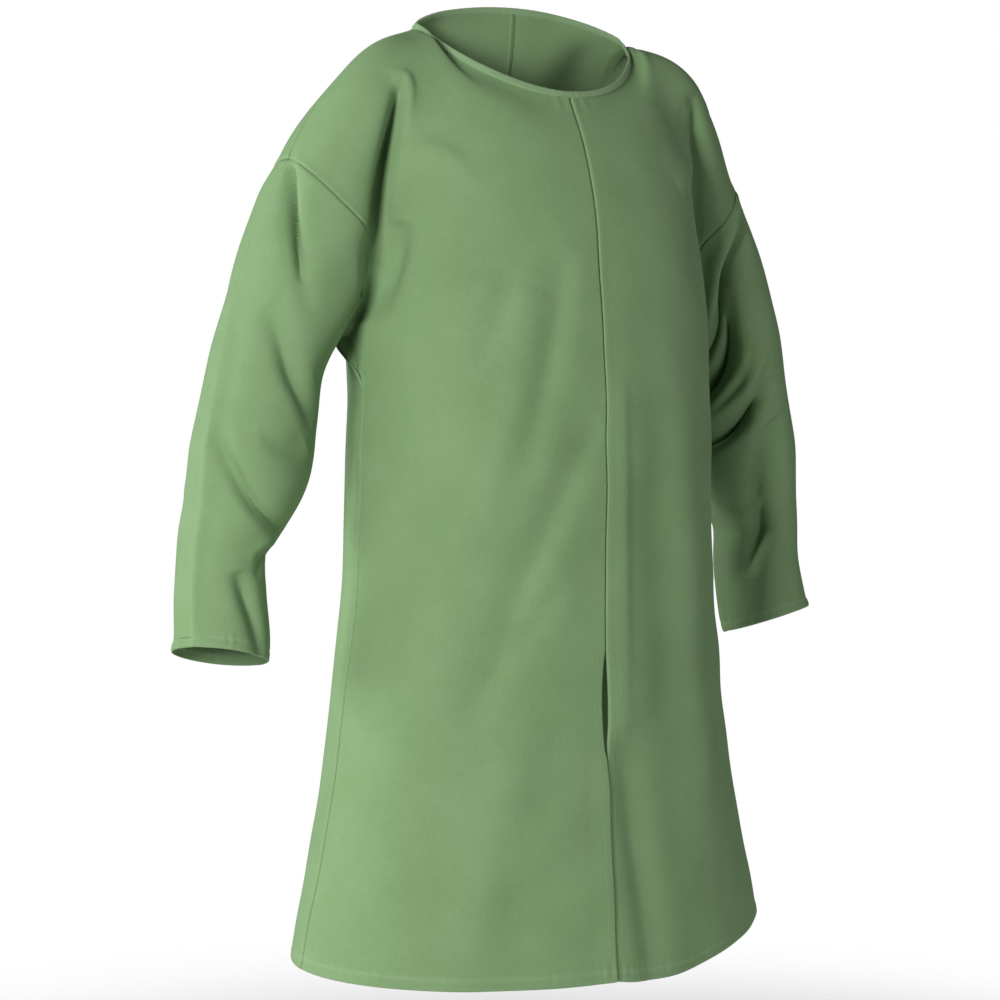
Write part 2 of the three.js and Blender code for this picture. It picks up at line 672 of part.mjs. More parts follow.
// front and back agree along the shoulder and the side, sleeves take the panels' edge
for (const side of [-1, 1]) {
  const front = body[`front_${side < 0 ? "right" : "left"}`];
  const back = body[`back_${side < 0 ? "right" : "left"}`];
  const sleeve = sleeves[side < 0 ? 0 : 1];
  const join = (pieceA, iA, jA, pieceB, iB, jB) => {
    const shared = mix(pieceA.points[iA][jA], pieceB.points[iB][jB], 0.5);
    pieceA.points[iA][jA] = shared;
    pieceB.points[iB][jB] = shared;
  };
  for (let j = NECK_COLUMN + 1; j <= LAST; j += 1) join(front, 0, j, back, 0, j);
  for (let i = UNDER_ROW; i <= HEM_ROW; i += 1) join(front, i, LAST, back, i, LAST);
  sleeve.points[0] = sleeve.points[0].map((_, k) => {
    const [piece, row] = k <= UNDER_ROW ? [front, k] : [back, SLEEVE_TURNS - k];
    return piece.points[row][LAST];
  });
}

Object.values(body).forEach((piece) => {
  piece.normals = gridNormals(piece.points, false, (piece.face === "front" ? -1 : 1) * piece.side);
});
sleeves.forEach((piece) => {
  piece.normals = gridNormals(piece.points, true, piece.side);
});

const seams = [];
for (let i = 0; i <= HEM_ROW; i += 1) {
  seams.push([[body.front_right, i, 0], [body.front_left, i, 0]]);
  seams.push([[body.back_right, i, 0], [body.back_left, i, 0]]);
}
for (const side of [-1, 1]) {
  const front = body[`front_${side < 0 ? "right" : "left"}`];
  const back = body[`back_${side < 0 ? "right" : "left"}`];
  const sleeve = sleeves[side < 0 ? 0 : 1];
  for (let j = NECK_COLUMN; j < LAST; j += 1) seams.push([[front, 0, j], [back, 0, j]]);
  for (let i = UNDER_ROW + 1; i <= HEM_ROW; i += 1) seams.push([[front, i, LAST], [back, i, LAST]]);
  for (let k = 0; k < SLEEVE_TURNS; k += 1) {
    const row = k <= UNDER_ROW ? k : SLEEVE_TURNS - k;
    const group = [[sleeve, 0, k], [k <= UNDER_ROW ? front : back, row, LAST]];
    if (row === 0 || row === UNDER_ROW) group.push([k === row ? back : front, row, LAST]);
    seams.push(group);
  }
}
shareNormals(seams);

const tunic = new THREE.Group();
tunic.name = "tunic";

Object.values(body).forEach((piece) => {
  const inner = piece.points.map((row, i) => row.map((point, j) => {
    let at = point;
    if (j === 0) at = add(at, sub(drawnBack(piece, i, j, [i, 1]), point));
    if (j === LAST) at = add(at, sub(drawnBack(piece, i, j, [i, LAST - 1], i - UNDER_ROW), point));
    if (i === 0) at = add(at, sub(drawnBack(piece, i, j, [1, j]), point));
    if (j === 0 && piece.face === "front" && point[2] < SLIT_TOP) {
      const share = (SLIT_TOP - point[2]) / (SLIT_TOP - HEM_SIDE);
      at = add(at, [piece.side * SLIT_OPENING * 0.5 * share, 0, 0]);
    }
    return at;
  }));
  const outer = inner.map((row, i) => row.map((point, j) => add(point, piece.normals[i][j], WALL)));
  tunic.add(clothMesh(piece.name, outer, inner, false, piece.flip));
});

sleeves.forEach((piece) => {
  const inner = piece.points.map((row, i) => row.map((point, k) => (
    i === 0 ? drawnBack(piece, 0, k, [1, k], k - UNDER_ROW) : point
  )));
  const outer = inner.map((row, i) => row.map((point, k) => add(point, piece.normals[i][k], WALL)));
  tunic.add(clothMesh(piece.name, outer, inner, true, piece.flip));
});

// the neck binding: a narrow strip that stands on the neckline all the way round
function bindingMesh() {
  const edge = [];
  const take = ({ points, normals }, column) => {
    edge.push({ point: points[0][column], normal: normals[0][column], column });
  };
  for (let j = 0; j <= NECK_COLUMN; j += 1) take(body.front_left, j);
  for (let j = NECK_COLUMN - 1; j >= 0; j -= 1) take(body.back_left, j);
  for (let j = 1; j <= NECK_COLUMN; j += 1) take(body.back_right, j);
  for (let j = NECK_COLUMN - 1; j >= 1; j -= 1) take(body.front_right, j);
  const count = edge.length;
  const heart = [0, (NECK_FRONT_Y + NECK_BACK_Y) / 2, 0];
  const outside = WALL + BINDING_PROUD;
  const layers = [[0, outside], [1, outside], [1, outside - BINDING_WALL], [0, outside - BINDING_WALL]];
  const positions = layers.flatMap(([rise, out]) => edge.flatMap(({ point, normal }, k) => {
    const along = unit(sub(edge[(k + 1) % count].point, edge[(k + count - 1) % count].point));
    const inward = sub(heart, point);
    const lean = 0.2 + (0.3 * Math.abs(point[0])) / NECK_HALF_WIDTH;
    const wanted = add([0, 0, 1], unit([inward[0], inward[1], 0]), lean);
    const level = add(wanted, along, -dot(wanted, along));
    const flat = unit(add(level, normal, -dot(level, normal)));
    return add(add(point, flat, SEAM_GAP + rise * BINDING_WIDTH), normal, out);
  }));
  const faces = [];
  layers.forEach((_, layer) => {
    const other = (layer + 1) % layers.length;
    edge.forEach(({ column }, k) => {
      const next = (k + 1) % count;
      const [a, b, c, d] = [layer * count + k, layer * count + next, other * count + next, other * count + k];
      // the strips of the panels under it are split the same way
      if (edge[next].column > column) faces.push(a, b, d, b, c, d);
      else faces.push(a, b, c, a, c, d);
    });
  });
  return new THREE.Mesh(meshGeometry(positions, faces), bindingMaterial);
}

const binding = bindingMesh();
binding.name = "neck_binding";
tunic.add(binding);

export default tunic;
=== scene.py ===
import math

import bpy
import numpy as np
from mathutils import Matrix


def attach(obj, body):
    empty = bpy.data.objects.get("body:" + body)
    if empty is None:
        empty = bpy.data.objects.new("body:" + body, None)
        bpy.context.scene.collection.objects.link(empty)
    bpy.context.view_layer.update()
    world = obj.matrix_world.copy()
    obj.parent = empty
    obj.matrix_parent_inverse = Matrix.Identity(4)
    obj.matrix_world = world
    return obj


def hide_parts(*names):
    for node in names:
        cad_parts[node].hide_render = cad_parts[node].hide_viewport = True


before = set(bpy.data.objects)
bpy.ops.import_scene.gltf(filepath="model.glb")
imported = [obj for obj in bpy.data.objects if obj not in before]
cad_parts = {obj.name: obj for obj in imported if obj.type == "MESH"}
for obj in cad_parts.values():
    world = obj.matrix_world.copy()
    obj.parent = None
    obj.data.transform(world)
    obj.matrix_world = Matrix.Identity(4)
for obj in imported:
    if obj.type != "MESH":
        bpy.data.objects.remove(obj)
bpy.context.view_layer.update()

# ------------------------------------------------------------------ fronts and backs: the worn form
# The body is cut from heavy green cotton as two fronts and two backs, and keeps its wearer's form: level
# sections of the torso melted into sections square to each arm, in millimetres.

MM = 0.001
TINY = 1e-9


def curve(table, column, at):
    """A cubic curve through one column of a table over its first column, level past the table's ends."""
    rows = np.array(sorted(table), float)
    keys, values = rows[:, 0], rows[:, column]
    slopes = np.diff(values) / np.diff(keys)
    tangents = np.concatenate([slopes[:1], (slopes[1:] + slopes[:-1]) / 2, slopes[-1:]])
    at = np.clip(at, keys[0], keys[-1])
    i = np.clip(np.searchsorted(keys, at, side="right") - 1, 0, len(keys) - 2)
    step = keys[i + 1] - keys[i]
    t = (at - keys[i]) / step
    return ((2 * t**3 - 3 * t**2 + 1) * values[i] + (t**3 - 2 * t**2 + t) * step * tangents[i]
            + (3 * t**2 - 2 * t**3) * values[i + 1] + (t**3 - t**2) * step * tangents[i + 1])


def bell(x):
    """Bell curve: 1 in the middle, falling to a third one width away."""
    return np.exp(-np.square(x))


TORSO = [
    # height, half width right, half width left, front, back
    (40, 58, 58, -30, 15),
    (15, 112, 112, -54, 17),
    (0, 127, 127, -64, 19),
    (-30, 140, 140, -82, 24),
    (-65, 155, 155, -102, 36),
    (-120, 176, 176, -128, 70),
    (-182, 190, 190, -148, 100),
    (-250, 200, 200, -160, 119),
    (-330, 206, 206, -171, 133),
    (-402, 205, 207, -175, 134),
    (-612, 215, 216, -174, 133),
    (-830, 248, 254, -180, 130),
    (-1010, 283, 306, -194, 150),
]
RIGHT, LEFT, FRONT, BACK = 1, 2, 3, 4
# height, power of the section's superellipse
SQUARENESS = [(40, 2.0), (-100, 2.2), (-330, 2.25), (-1010, 2.1)]
LEFT_FRONT_SQUARENESS = [(-600, 2.2), (-1010, 1.55)]

ARM = [
    # section, out from the middle, height, forward or back, half width across, half width fore and aft
    (0, 108, -64, -6, 60, 50),
    (1, 146, -72, -10, 60, 56),
    (2, 175, -101, -8, 64, 62),
    (3, 207, -154, 9, 67, 68),
    (4, 232, -206, 15, 67, 70),
    (5, 255, -256, 15, 66, 69),
    (6, 279, -308, 15, 60, 68),
    (7, 298, -360, 17, 57, 66),
    (8, 308, -415, 20, 60, 65),
    (9, 317, -465, 22, 62, 64),
    (10, 331, -510, 26, 53, 60),
    (11, 345, -550, 30, 44, 54),
    (12, 347, -600, 29, 48, 50),
    (13, 350, -646, 21, 49, 51),
    (14, 354, -664, 17, 50, 51),
]
ARM_SQUARENESS = 2.1
# height, rounding where the arm meets the torso
MELT = [(20, 22), (-60, 26), (-140, 26), (-230, 20), (-320, 14), (-420, 8)]
SEAM_TOP = np.array([279.0, 4.0, -142.0])
UNDERARM = np.array([221.0, 16.0, -325.0])
ARM_PLANE_SLANT = 0.35
SEAM_SLANT = [
    # height, out
    (-100, 285),
    (-140, 280),
    (-155, 274),
    (-170, 264),
    (-198, 239),
    (-222, 214),
    (-245, 208),
    (-280, 211),
    (-325, 221),
    (-400, 240),
]


def arm_line(count):
    """Sections of the arm at even steps along its table: out, height, fore, across, deep."""
    at = np.linspace(0, len(ARM) - 1, count)
    return np.stack([curve(ARM, column, at) for column in range(1, 6)], -1)


ARM_STEPS = arm_line(90)


def outside_torso(p):
    """Distance outside the torso in its level section, a superellipse of the section's four reaches."""
    x, y, z = p[..., 0], p[..., 1], p[..., 2]
    half = np.where(x < 0, curve(TORSO, RIGHT, z), curve(TORSO, LEFT, z))
    front, back = curve(TORSO, FRONT, z), curve(TORSO, BACK, z)
    middle, deep = (front + back) / 2, (back - front) / 2
    drawn_in = (x > 0) & (y < middle) & (z < LEFT_FRONT_SQUARENESS[0][0])
    power = np.where(drawn_in, curve(LEFT_FRONT_SQUARENESS, 1, z), curve(SQUARENESS, 1, z))
    across, along = np.abs(x), np.abs(y - middle)
    ratio = ((across / half) ** power + (along / deep) ** power) ** (1 / power) + TINY
    return np.hypot(across, along) * (1 - 1 / ratio) + np.maximum(z - TORSO[0][0], 0)


def outside_arm(p):
    """Distance outside the arm, in the section square to the nearest stretch of the arm's line."""
    flat = p.reshape(-1, 3)
    out, height = np.abs(flat[:, 0]), flat[:, 2]
    start, run = ARM_STEPS[:-1], np.diff(ARM_STEPS, axis=0)
    length2 = run[:, 0] ** 2 + run[:, 1] ** 2
    t = ((out[:, None] - start[:, 0]) * run[:, 0] + (height[:, None] - start[:, 1]) * run[:, 1]) / length2
    t = np.clip(t, 0, 1)
    off = np.hypot(out[:, None] - start[:, 0] - t * run[:, 0], height[:, None] - start[:, 1] - t * run[:, 1])
    nearest = off.argmin(1)
    pick = np.arange(len(flat))
    row = start[nearest] + t[pick, nearest][:, None] * run[nearest]
    off, level = off[pick, nearest], np.abs(flat[:, 1] - row[:, 2])
    power = ARM_SQUARENESS
    ratio = ((off / row[:, 3]) ** power + (level / row[:, 4]) ** power) ** (1 / power) + TINY
    return (np.hypot(off, level) * (1 - 1 / ratio)).reshape(p.shape[:-1])


def outside_body(p):
    """Torso and arm melted together: the lesser distance, less a rounding where the two are close."""
    a, b = outside_torso(p), outside_arm(p)
    radius = curve(MELT, 1, p[..., 2])
    near = np.maximum(radius - np.abs(a - b), 0) / radius
    return np.minimum(a, b) - near * near * radius * 0.25


def outside_cut_body(p):
    """The body, ended by a steep plane through the upper arm, so that no ray runs on down the arm."""
    past_plane = np.abs(p[..., 0]) - UNDERARM[0] - ARM_PLANE_SLANT * (p[..., 2] - UNDERARM[2])
    return np.maximum(outside_body(p), past_plane)


HALVINGS = 18
RAY_LENGTH = 420.0
YOKE_STEPS = 70
SKIRT_STEPS = 60
# nearest, furthest and steps of the search for the sleeve seam, in halves of its height
SEAM_SEARCH = (0.3, 1.9, 100)


def first_exit(path_at, outside, low, high, steps, shape):
    """First way out of a form along many paths at once: even steps to a change of sign, then halving."""
    below, above = np.full(shape, low), np.full(shape, high)
    found = np.zeros(shape, bool)
    for k in range(1, steps + 1):
        at = low + (high - low) * k / steps
        hit = (outside(path_at(np.full(shape, at))) > 0) & ~found
        above = np.where(hit, at, above)
        found |= hit
        below = np.where(found, below, at)
    for _ in range(HALVINGS):
        middle = (below + above) / 2
        out = outside(path_at(middle)) > 0
        above = np.where(out, middle, above)
        below = np.where(out, below, middle)
    return path_at((below + above) / 2)


def sleeve_seam(degrees):
    """Points of the sleeve seam, where it meets the body: 0 top, 90 front, 180 underarm, 270 back."""
    middle, up = (SEAM_TOP + UNDERARM) / 2, (SEAM_TOP - UNDERARM) / 2
    reach = np.linalg.norm(up)
    c, s = np.cos(np.radians(degrees)), np.sin(np.radians(degrees))

    def path_at(at):
        z = middle[2] + at * c * up[2]
        y = middle[1] + at * (c * up[1] - s * reach)
        return np.stack([curve(SEAM_SLANT, 1, z), y, z], -1)

    return first_exit(path_at, outside_body, *SEAM_SEARCH, degrees.shape)


NECK_HALF_WIDTH = 131.0
NECK_DRAWN_IN = 7.0
NECK_POINT_HEIGHT = -3.0
NECK_DROP_FRONT = 77.0
NECK_RISE_BACK = 25.0
NECK_FRONT_Y = -101.0
NECK_BACK_Y = 15.0
HEM_SIDE = -996.0
HEM_FRONT_DIP = 12.0
HEM_LEFT_DIP = 15.0
SLIT_TOP = -660.0
CREST = [
    # out, height, the crest's lean in degrees
    (131, -3, 0),
    (158, -9, 13),
    (195, -27, 34),
    (230, -60, 47),
    (256, -94, 53),
    (279, -142, 58),
]
SEAM_RAY = [
    # share down the sleeve seam, then its ray's way out, forward or back, and up
    (0, 0.5, 0, 0.86),
    (0.25, 0.35, 0.8, 0.45),
    (0.5, 0.05, 1, 0.05),
    (0.75, 0, 0.9, -0.35),
    (1, 0.3, 0.4, -0.7),
]


def neckline(degrees):
    """The neckline: 0 front middle, 90 neck point, 180 back middle."""
    c, s = np.cos(np.radians(degrees)), np.sin(np.radians(degrees))
    front, back = np.maximum(c, 0), np.maximum(-c, 0)
    drawn_in = np.where(c > 0, NECK_DRAWN_IN * np.sin(np.radians(2 * degrees)), 0)
    drop, rise = NECK_DROP_FRONT + NECK_POINT_HEIGHT, NECK_RISE_BACK - NECK_POINT_HEIGHT
    return np.stack([NECK_HALF_WIDTH * s - drawn_in, NECK_FRONT_Y * front**0.95 + NECK_BACK_Y * back,
                     NECK_POINT_HEIGHT - drop * front**1.1 + rise * back**1.5], -1)


def closer_at_start(shares, even):
    """Shares from 0 to 1, closer together near 0; even is their first step beside an even one."""
    return shares * (even + (1 - even) * shares)


# the grid of a half panel: shares across it, closer together beside the seams, and shares down yoke and skirt
NECK_SHARE = 7 / 16
NECK_COLUMNS = 48
SHOULDER_COLUMNS = 88
YOKE_ROWS = 124
SKIRT_ROWS = 150
HEM_ROWS = 10
SKIRT_LENGTH = 680
HEM_BAND = 16
HEM_START = 1 - HEM_BAND / SKIRT_LENGTH
ACROSS = np.concatenate([
    NECK_SHARE * closer_at_start(np.linspace(0, 1, NECK_COLUMNS), 0.45),
    1 - (1 - NECK_SHARE) * closer_at_start(np.linspace(1, 0, SHOULDER_COLUMNS)[1:], 0.45)])
YOKE_DOWN = closer_at_start(np.linspace(0, 1, YOKE_ROWS), 0.55)
SKIRT_DOWN = np.concatenate([np.linspace(0, HEM_START, SKIRT_ROWS), np.linspace(HEM_START, 1, HEM_ROWS)[1:]])
UNDER_ROW = len(YOKE_DOWN) - 1

# how far inside the form each ray of the yoke starts, and where that is from front to back
RAY_BACK = 45
RAY_BACK_LOW = 150
BODY_CORE = (-10, -8)
ARM_CORE = 14
ARM_CORE_FROM = 80
ARM_CORE_OVER = 220
# shares over which the exact neckline and the exact sleeve seam draw the yoke on to them
NECK_FADE_ACROSS = 0.16
NECK_FADE_DOWN = 0.12
SEAM_FADE_POWER = 14


def yoke_points(face):
    """Neck and shoulder down to the underarm: a ray for each point, mixed from the rays of the four edges."""
    facing = -1 if face == "front" else 1
    u, w = ACROSS, YOKE_DOWN
    seam = sleeve_seam(w * 180 if face == "front" else 360 - w * 180)
    turn = np.clip(u / NECK_SHARE, 0, 1)
    neck = neckline(turn * 90 if face == "front" else 180 - turn * 90)
    past_neck = np.clip((u - NECK_SHARE) / (1 - NECK_SHARE), 0, 1)
    out = NECK_HALF_WIDTH + (seam[0, 0] - NECK_HALF_WIDTH) * past_neck
    lean = np.radians(curve(CREST, 2, out))
    at_neck = (u <= NECK_SHARE)[:, None]
    top_of_neck = [neck[:, 0], neck[:, 2], 0.15 * turn**2, facing * (1 - turn**2), 0.1 + 0.9 * turn**2]
    top_of_shoulder = [out, curve(CREST, 1, out), np.sin(lean), 0 * u, np.cos(lean)]
    top = np.where(at_neck, np.stack(top_of_neck, -1), np.stack(top_of_shoulder, -1))
    outer = np.stack([seam[:, 0], seam[:, 2], curve(SEAM_RAY, 1, w), facing * curve(SEAM_RAY, 2, w),
                      curve(SEAM_RAY, 3, w)], -1)
    around = np.radians(u * 90)
    half = curve(TORSO, RIGHT, UNDERARM[2])
    bottom = np.stack([half * np.sin(around), UNDERARM[2] + 0 * u,
                       np.sin(around), facing * np.cos(around), 0 * u], -1)
    bottom[-1] = outer[-1]
    inner = np.stack([0 * w, top[0, 1] + (UNDERARM[2] - top[0, 1]) * w, 0 * w, facing + 0 * w, 0 * w], -1)
    down, across = w[:, None, None], u[None, :, None]
    mixed = ((1 - down) * top + down * bottom + (1 - across) * inner[:, None] + across * outer[:, None]
             - (1 - across) * (1 - down) * top[0] - across * (1 - down) * top[-1]
             - (1 - across) * down * bottom[0] - across * down * bottom[-1])
    ray = mixed[..., 2:] / np.linalg.norm(mixed[..., 2:], axis=-1, keepdims=True)
    down, across = w[:, None], u[None, :]
    reach = RAY_BACK + RAY_BACK_LOW * down**2 * (1 - across**4)
    body_middle = BODY_CORE[0] + BODY_CORE[1] * mixed[..., 1] / UNDERARM[2]
    arm_middle = ARM_CORE * np.clip((mixed[..., 0] - ARM_CORE_FROM) / ARM_CORE_OVER, 0, 1)
    start = np.stack([mixed[..., 0] - reach * ray[..., 0],
                      body_middle * (1 - across**2) + arm_middle * across**2,
                      mixed[..., 1] - reach * ray[..., 2]], -1)
    points = first_exit(lambda at: start + ray * at[..., None], outside_cut_body,
                        0.0, RAY_LENGTH, YOKE_STEPS, start.shape[:2])

    # drawn on to the exact neckline and sleeve seam
    shift = neck - points[0]
    shift[NECK_COLUMNS:] = shift[NECK_COLUMNS - 1]
    fade = np.where(u > NECK_SHARE, bell((u - NECK_SHARE) / NECK_FADE_ACROSS), 1)
    points += shift[None] * fade[None, :, None] * bell(down / NECK_FADE_DOWN)[..., None]
    points += (seam - points[:, -1])[:, None] * (across**SEAM_FADE_POWER)[..., None]
    return points


def skirt_points(face, side):
    """Underarm down to the hem: level rays from the middle of the torso."""
    facing = -1 if face == "front" else 1
    u, v = ACROSS[None, :], SKIRT_DOWN[:, None]
    turn = np.radians(u * 90)
    dip = HEM_FRONT_DIP * np.cos(turn) ** 1.5 if face == "front" else 0 * u
    if face == "front" and side > 0:
        dip = dip + HEM_LEFT_DIP * np.sin(2 * turn) * np.cos(turn)
    z = UNDERARM[2] + (HEM_SIDE - dip - UNDERARM[2]) * v
    middle = (curve(TORSO, FRONT, z) + curve(TORSO, BACK, z)) / 2
    around = np.radians(u * 90) + 0 * v
    start = np.stack([0 * z, middle, z], -1)
    ray = np.stack([side * np.sin(around), facing * np.cos(around), 0 * z], -1)
    return first_exit(lambda at: start + ray * at[..., None], outside_torso,
                      0.0, RAY_LENGTH, SKIRT_STEPS, z.shape)


def evened(points, passes, rows):
    """Points inside a grid's edges moved half way to the middle of their four neighbours, pass by pass."""
    points = points.copy()
    inside = points[1:rows - 1, 1:-1]
    for _ in range(passes):
        above_below = points[:rows - 2, 1:-1] + points[2:rows, 1:-1]
        beside = points[1:rows - 1, :-2] + points[1:rows - 1, 2:]
        inside += ((above_below + beside) / 4 - inside) * 0.5
    return points


EVENING_PASSES = 24
EVENED_PAST_UNDERARM = 14


def panel_points(face, side, yoke):
    """A half panel: rows from neck and shoulder down to the hem, columns from the middle out."""
    yoke = yoke * np.array([side, 1, 1])
    skirt = skirt_points(face, side)
    across, down = ACROSS[None, :, None], YOKE_DOWN[:, None, None]
    step = yoke[-1] - skirt[0]
    yoke = yoke - 0.5 * step * bell((1 - down) / 0.15) * (1 - across**SEAM_FADE_POWER)
    skirt = skirt + (yoke[-1] - skirt[0]) * bell(SKIRT_DOWN[:, None, None] / 0.05)
    return evened(np.concatenate([yoke, skirt[1:]]), EVENING_PASSES, len(yoke) + EVENED_PAST_UNDERARM)


def normals_of(points, outward, closed=False):
    """Unit normals of a grid, from the points beside each one; a closed grid's columns join up."""
    down = np.gradient(points, axis=0)
    if closed:
        right = np.roll(points, -1, axis=1) - np.roll(points, 1, axis=1)
    else:
        right = np.gradient(points, axis=1)
    normal = np.cross(-down, right) * outward
    return normal / (np.linalg.norm(normal, axis=-1, keepdims=True) + TINY)


def runs(points, axis):
    """Length along a grid's rows or columns to each point."""
    step = np.linalg.norm(np.diff(points, axis=axis), axis=-1)
    first = np.zeros_like(np.take(step, [0], axis=axis))
    return np.concatenate([first, np.cumsum(step, axis=axis)], axis=axis)


# ------------------------------------------------------------------ fronts and backs: folds
# Heavy cotton falls in few, soft folds: a tuck where each arm meets the chest, troughs that hang from the
# shoulders to the hem, and the creases that it was packed with. They are pressed in along the form's normals.


FOLD_STEPS = 24


def fold_height(a, b, fold):
    """Height of one fold over a plane of two lengths: a bell across a curve through three places, tapered to
    both ends, and wider on one side of the curve than on the other by its lean."""
    ax, ay, mx, my, bx, by, width, depth, lean = fold
    t = np.linspace(0, 1, FOLD_STEPS + 1)
    line_a = (1 - t) * (1 - 2 * t) * ax + 4 * t * (1 - t) * mx + t * (2 * t - 1) * bx
    line_b = (1 - t) * (1 - 2 * t) * ay + 4 * t * (1 - t) * my + t * (2 * t - 1) * by
    best = np.full(a.shape, np.inf)
    share, side = np.zeros(a.shape), np.ones(a.shape)
    for k in range(FOLD_STEPS):
        run_a, run_b = line_a[k + 1] - line_a[k], line_b[k + 1] - line_b[k]
        s = np.clip(((a - line_a[k]) * run_a + (b - line_b[k]) * run_b) / (run_a**2 + run_b**2), 0, 1)
        off_a, off_b = a - line_a[k] - s * run_a, b - line_b[k] - s * run_b
        off = np.hypot(off_a, off_b)
        nearer = off < best
        best = np.where(nearer, off, best)
        share = np.where(nearer, (k + s) / FOLD_STEPS, share)
        side = np.where(nearer, np.sign(off_a * run_b - off_b * run_a), side)
    return depth * bell(best / (width * (1 + lean * side))) * np.sin(np.pi * share) ** 0.6


# from x, from height, by x, by height, to x, to height, half width, depth (below zero a trough), lean
PANEL_FOLDS = {
    ("front", -1): [
        (-182, -70, -196, -148, -205, -262, 7, -26, 0.0),
        (-187, -56, -200, -150, -211, -268, 13, -6, 0.0),
        (-186, -210, -196, -256, -209, -316, 8, -18, 0.0),
        (-189, -66, -174, -66, -182, -112, 5, 4.5, 0.0),
        (-186, -150, -158, -136, -124, -176, 13, 4, 0.2),
        (-196, -222, -188, -180, -168, -150, 9, -3, 0.0),
        (-95, -262, -112, -305, -140, -360, 15, -4.0, 0.2),
        (-40, -240, -66, -350, -98, -480, 20, -6.0, 0.2),
        (-64, -285, -106, -420, -158, -570, 22, 5.5, 0.0),
        (-8, -415, -82, -560, -152, -745, 20, -6.5, 0.2),
        (-52, -585, -104, -660, -160, -730, 15, -4.0, 0.0),
        (-100, -720, -140, -880, -186, -1040, 32, 6.5, 0.0),
        (-190, -460, -196, -560, -214, -700, 15, -6.0, 0.0),
    ],
    ("front", 1): [
        (187, -60, 198, -140, 209, -262, 7, -9, 0.0),
        (186, -56, 197, -140, 210, -270, 15, -8, 0.0),
        (146, -8, 182, -26, 232, -70, 18, 5, 0.0),
        (186, -140, 160, -150, 128, -172, 14, 4, 0.2),
        (160, -80, 186, -110, 206, -150, 12, -3, 0.0),
        (19, -368, 22, -505, 27, -760, 12, 2.6, 0.3),
        (62, -300, 78, -600, 120, -1040, 32, -5.0, 0.0),
        (20, -740, 40, -880, 62, -1080, 24, -8.0, -0.2),
        (110, -420, 136, -640, 170, -900, 26, 3.5, 0.0),
    ],
    ("back", -1): [
        (-176, -66, -196, -150, -206, -262, 12, -13, 0.0),
        (-66, -240, -80, -560, -110, -1040, 30, 7, 0.0),
        (-146, -250, -160, -560, -190, -1040, 26, -4, 0.0),
        (-196, -200, -164, -250, -120, -330, 18, -5, 0.0),
        (-20, -150, -60, -180, -150, -170, 22, 3, 0.0),
    ],
    ("back", 1): [
        (176, -66, 196, -150, 206, -272, 12, -13, 0.0),
        (146, -8, 182, -26, 232, -70, 18, 5, 0.0),
        (52, -260, 62, -560, 84, -1040, 28, 6, 0.0),
        (122, -300, 134, -600, 160, -1040, 28, -4, 0.0),
        (198, -215, 170, -270, 130, -350, 18, -5, 0.0),
        (24, -140, 70, -170, 146, -160, 22, 3, 0.0),
    ],
}

WAVE_COUNT = 36
WAVE_STEEPNESS = 0.0018
rng = np.random.RandomState(11)
WAVES = [(direction / np.linalg.norm(direction) * 2 * math.pi / length, rng.uniform(0, 2 * math.pi), length)
         for direction, length in zip(rng.normal(size=(WAVE_COUNT, 3)), np.geomspace(60, 240, WAVE_COUNT))]


def drape(points):
    """The cloth's small unevenness: many soft waves in all directions, the longer the higher."""
    height = np.zeros(points.shape[:-1])
    for wave, phase, length in WAVES:
        height -= np.sin(points @ wave + phase) * length * WAVE_STEEPNESS
    return height


def eased(distance, reach):
    """1 at a seam, falling smoothly to 0 a reach away."""
    t = np.clip(distance / reach, 0, 1)
    return (1 - t) ** 2 * (1 + 2 * t)


PANELS = [("front", -1), ("front", 1), ("back", -1), ("back", 1)]
# the cloth sinks a little beside the neck: how deep, and the middle and half width of the hollow down and out
HOLLOW_DEPTH = 4.5
HOLLOW_DOWN = (26, 15)
HOLLOW_OUT = (132, 28)


def panel_normals(face, side, points):
    """Outward normals of a half panel, whose columns run from the middle out to either side."""
    return normals_of(points, side if face == "back" else -side)


yokes = {face: yoke_points(face) for face in ("front", "back")}
panels = {}
for face, side in PANELS:
    points = panel_points(face, side, yokes[face])
    normal = panel_normals(face, side, points)
    height = drape(points)
    for fold in PANEL_FOLDS[face, side]:
        height = height + fold_height(points[..., 0], points[..., 2], fold)
    if face == "front":
        hollow = bell((runs(points, 0) - HOLLOW_DOWN[0]) / HOLLOW_DOWN[1])
        height -= HOLLOW_DEPTH * hollow * bell((np.abs(points[..., 0]) - HOLLOW_OUT[0]) / HOLLOW_OUT[1])
    panels[face, side] = points + normal * height[..., None]

# lengths over which a move of a seam eases off into the cloth
SHOULDER_EASE = 30
SIDE_EASE = 40
MIDDLE_EASE = 30
SLIT_EASE = 26


def joined(a, b, edge, axis, reach):
    """Draws two panels' shared edges on to the line midway, easing the move off into each panel. The edge is
    their first row, or their last column."""
    middle = (a[edge] + b[edge]) / 2
    for points in (a, b):
        far = runs(points, axis)
        if axis == 1:
            far = far[:, -1:] - far
        move = np.zeros_like(points)
        move[edge] = middle - points[edge]
        points += move.sum(axis=axis, keepdims=True) * eased(far, reach)[..., None]


for side in (-1, 1):
    front, back = panels["front", side], panels["back", side]
    joined(front, back, (0, slice(NECK_COLUMNS, None)), 0, SHOULDER_EASE)
    joined(front, back, (slice(UNDER_ROW, None), -1), 1, SIDE_EASE)

for face in ("front", "back"):
    right, left = panels[face, -1], panels[face, 1]
    whole = right[:, 0, 2] > SLIT_TOP if face == "front" else np.ones(len(right), bool)
    mean = (right[:, 0] + left[:, 0]) / 2
    mean[:, 0] = 0
    for points in (right, left):
        move = np.where(whole[:, None], mean - points[:, 0], np.array([-1, 0, 0]) * points[:, :1, 0])
        points += move[:, None] * eased(runs(points, 1), MIDDLE_EASE)[..., None]

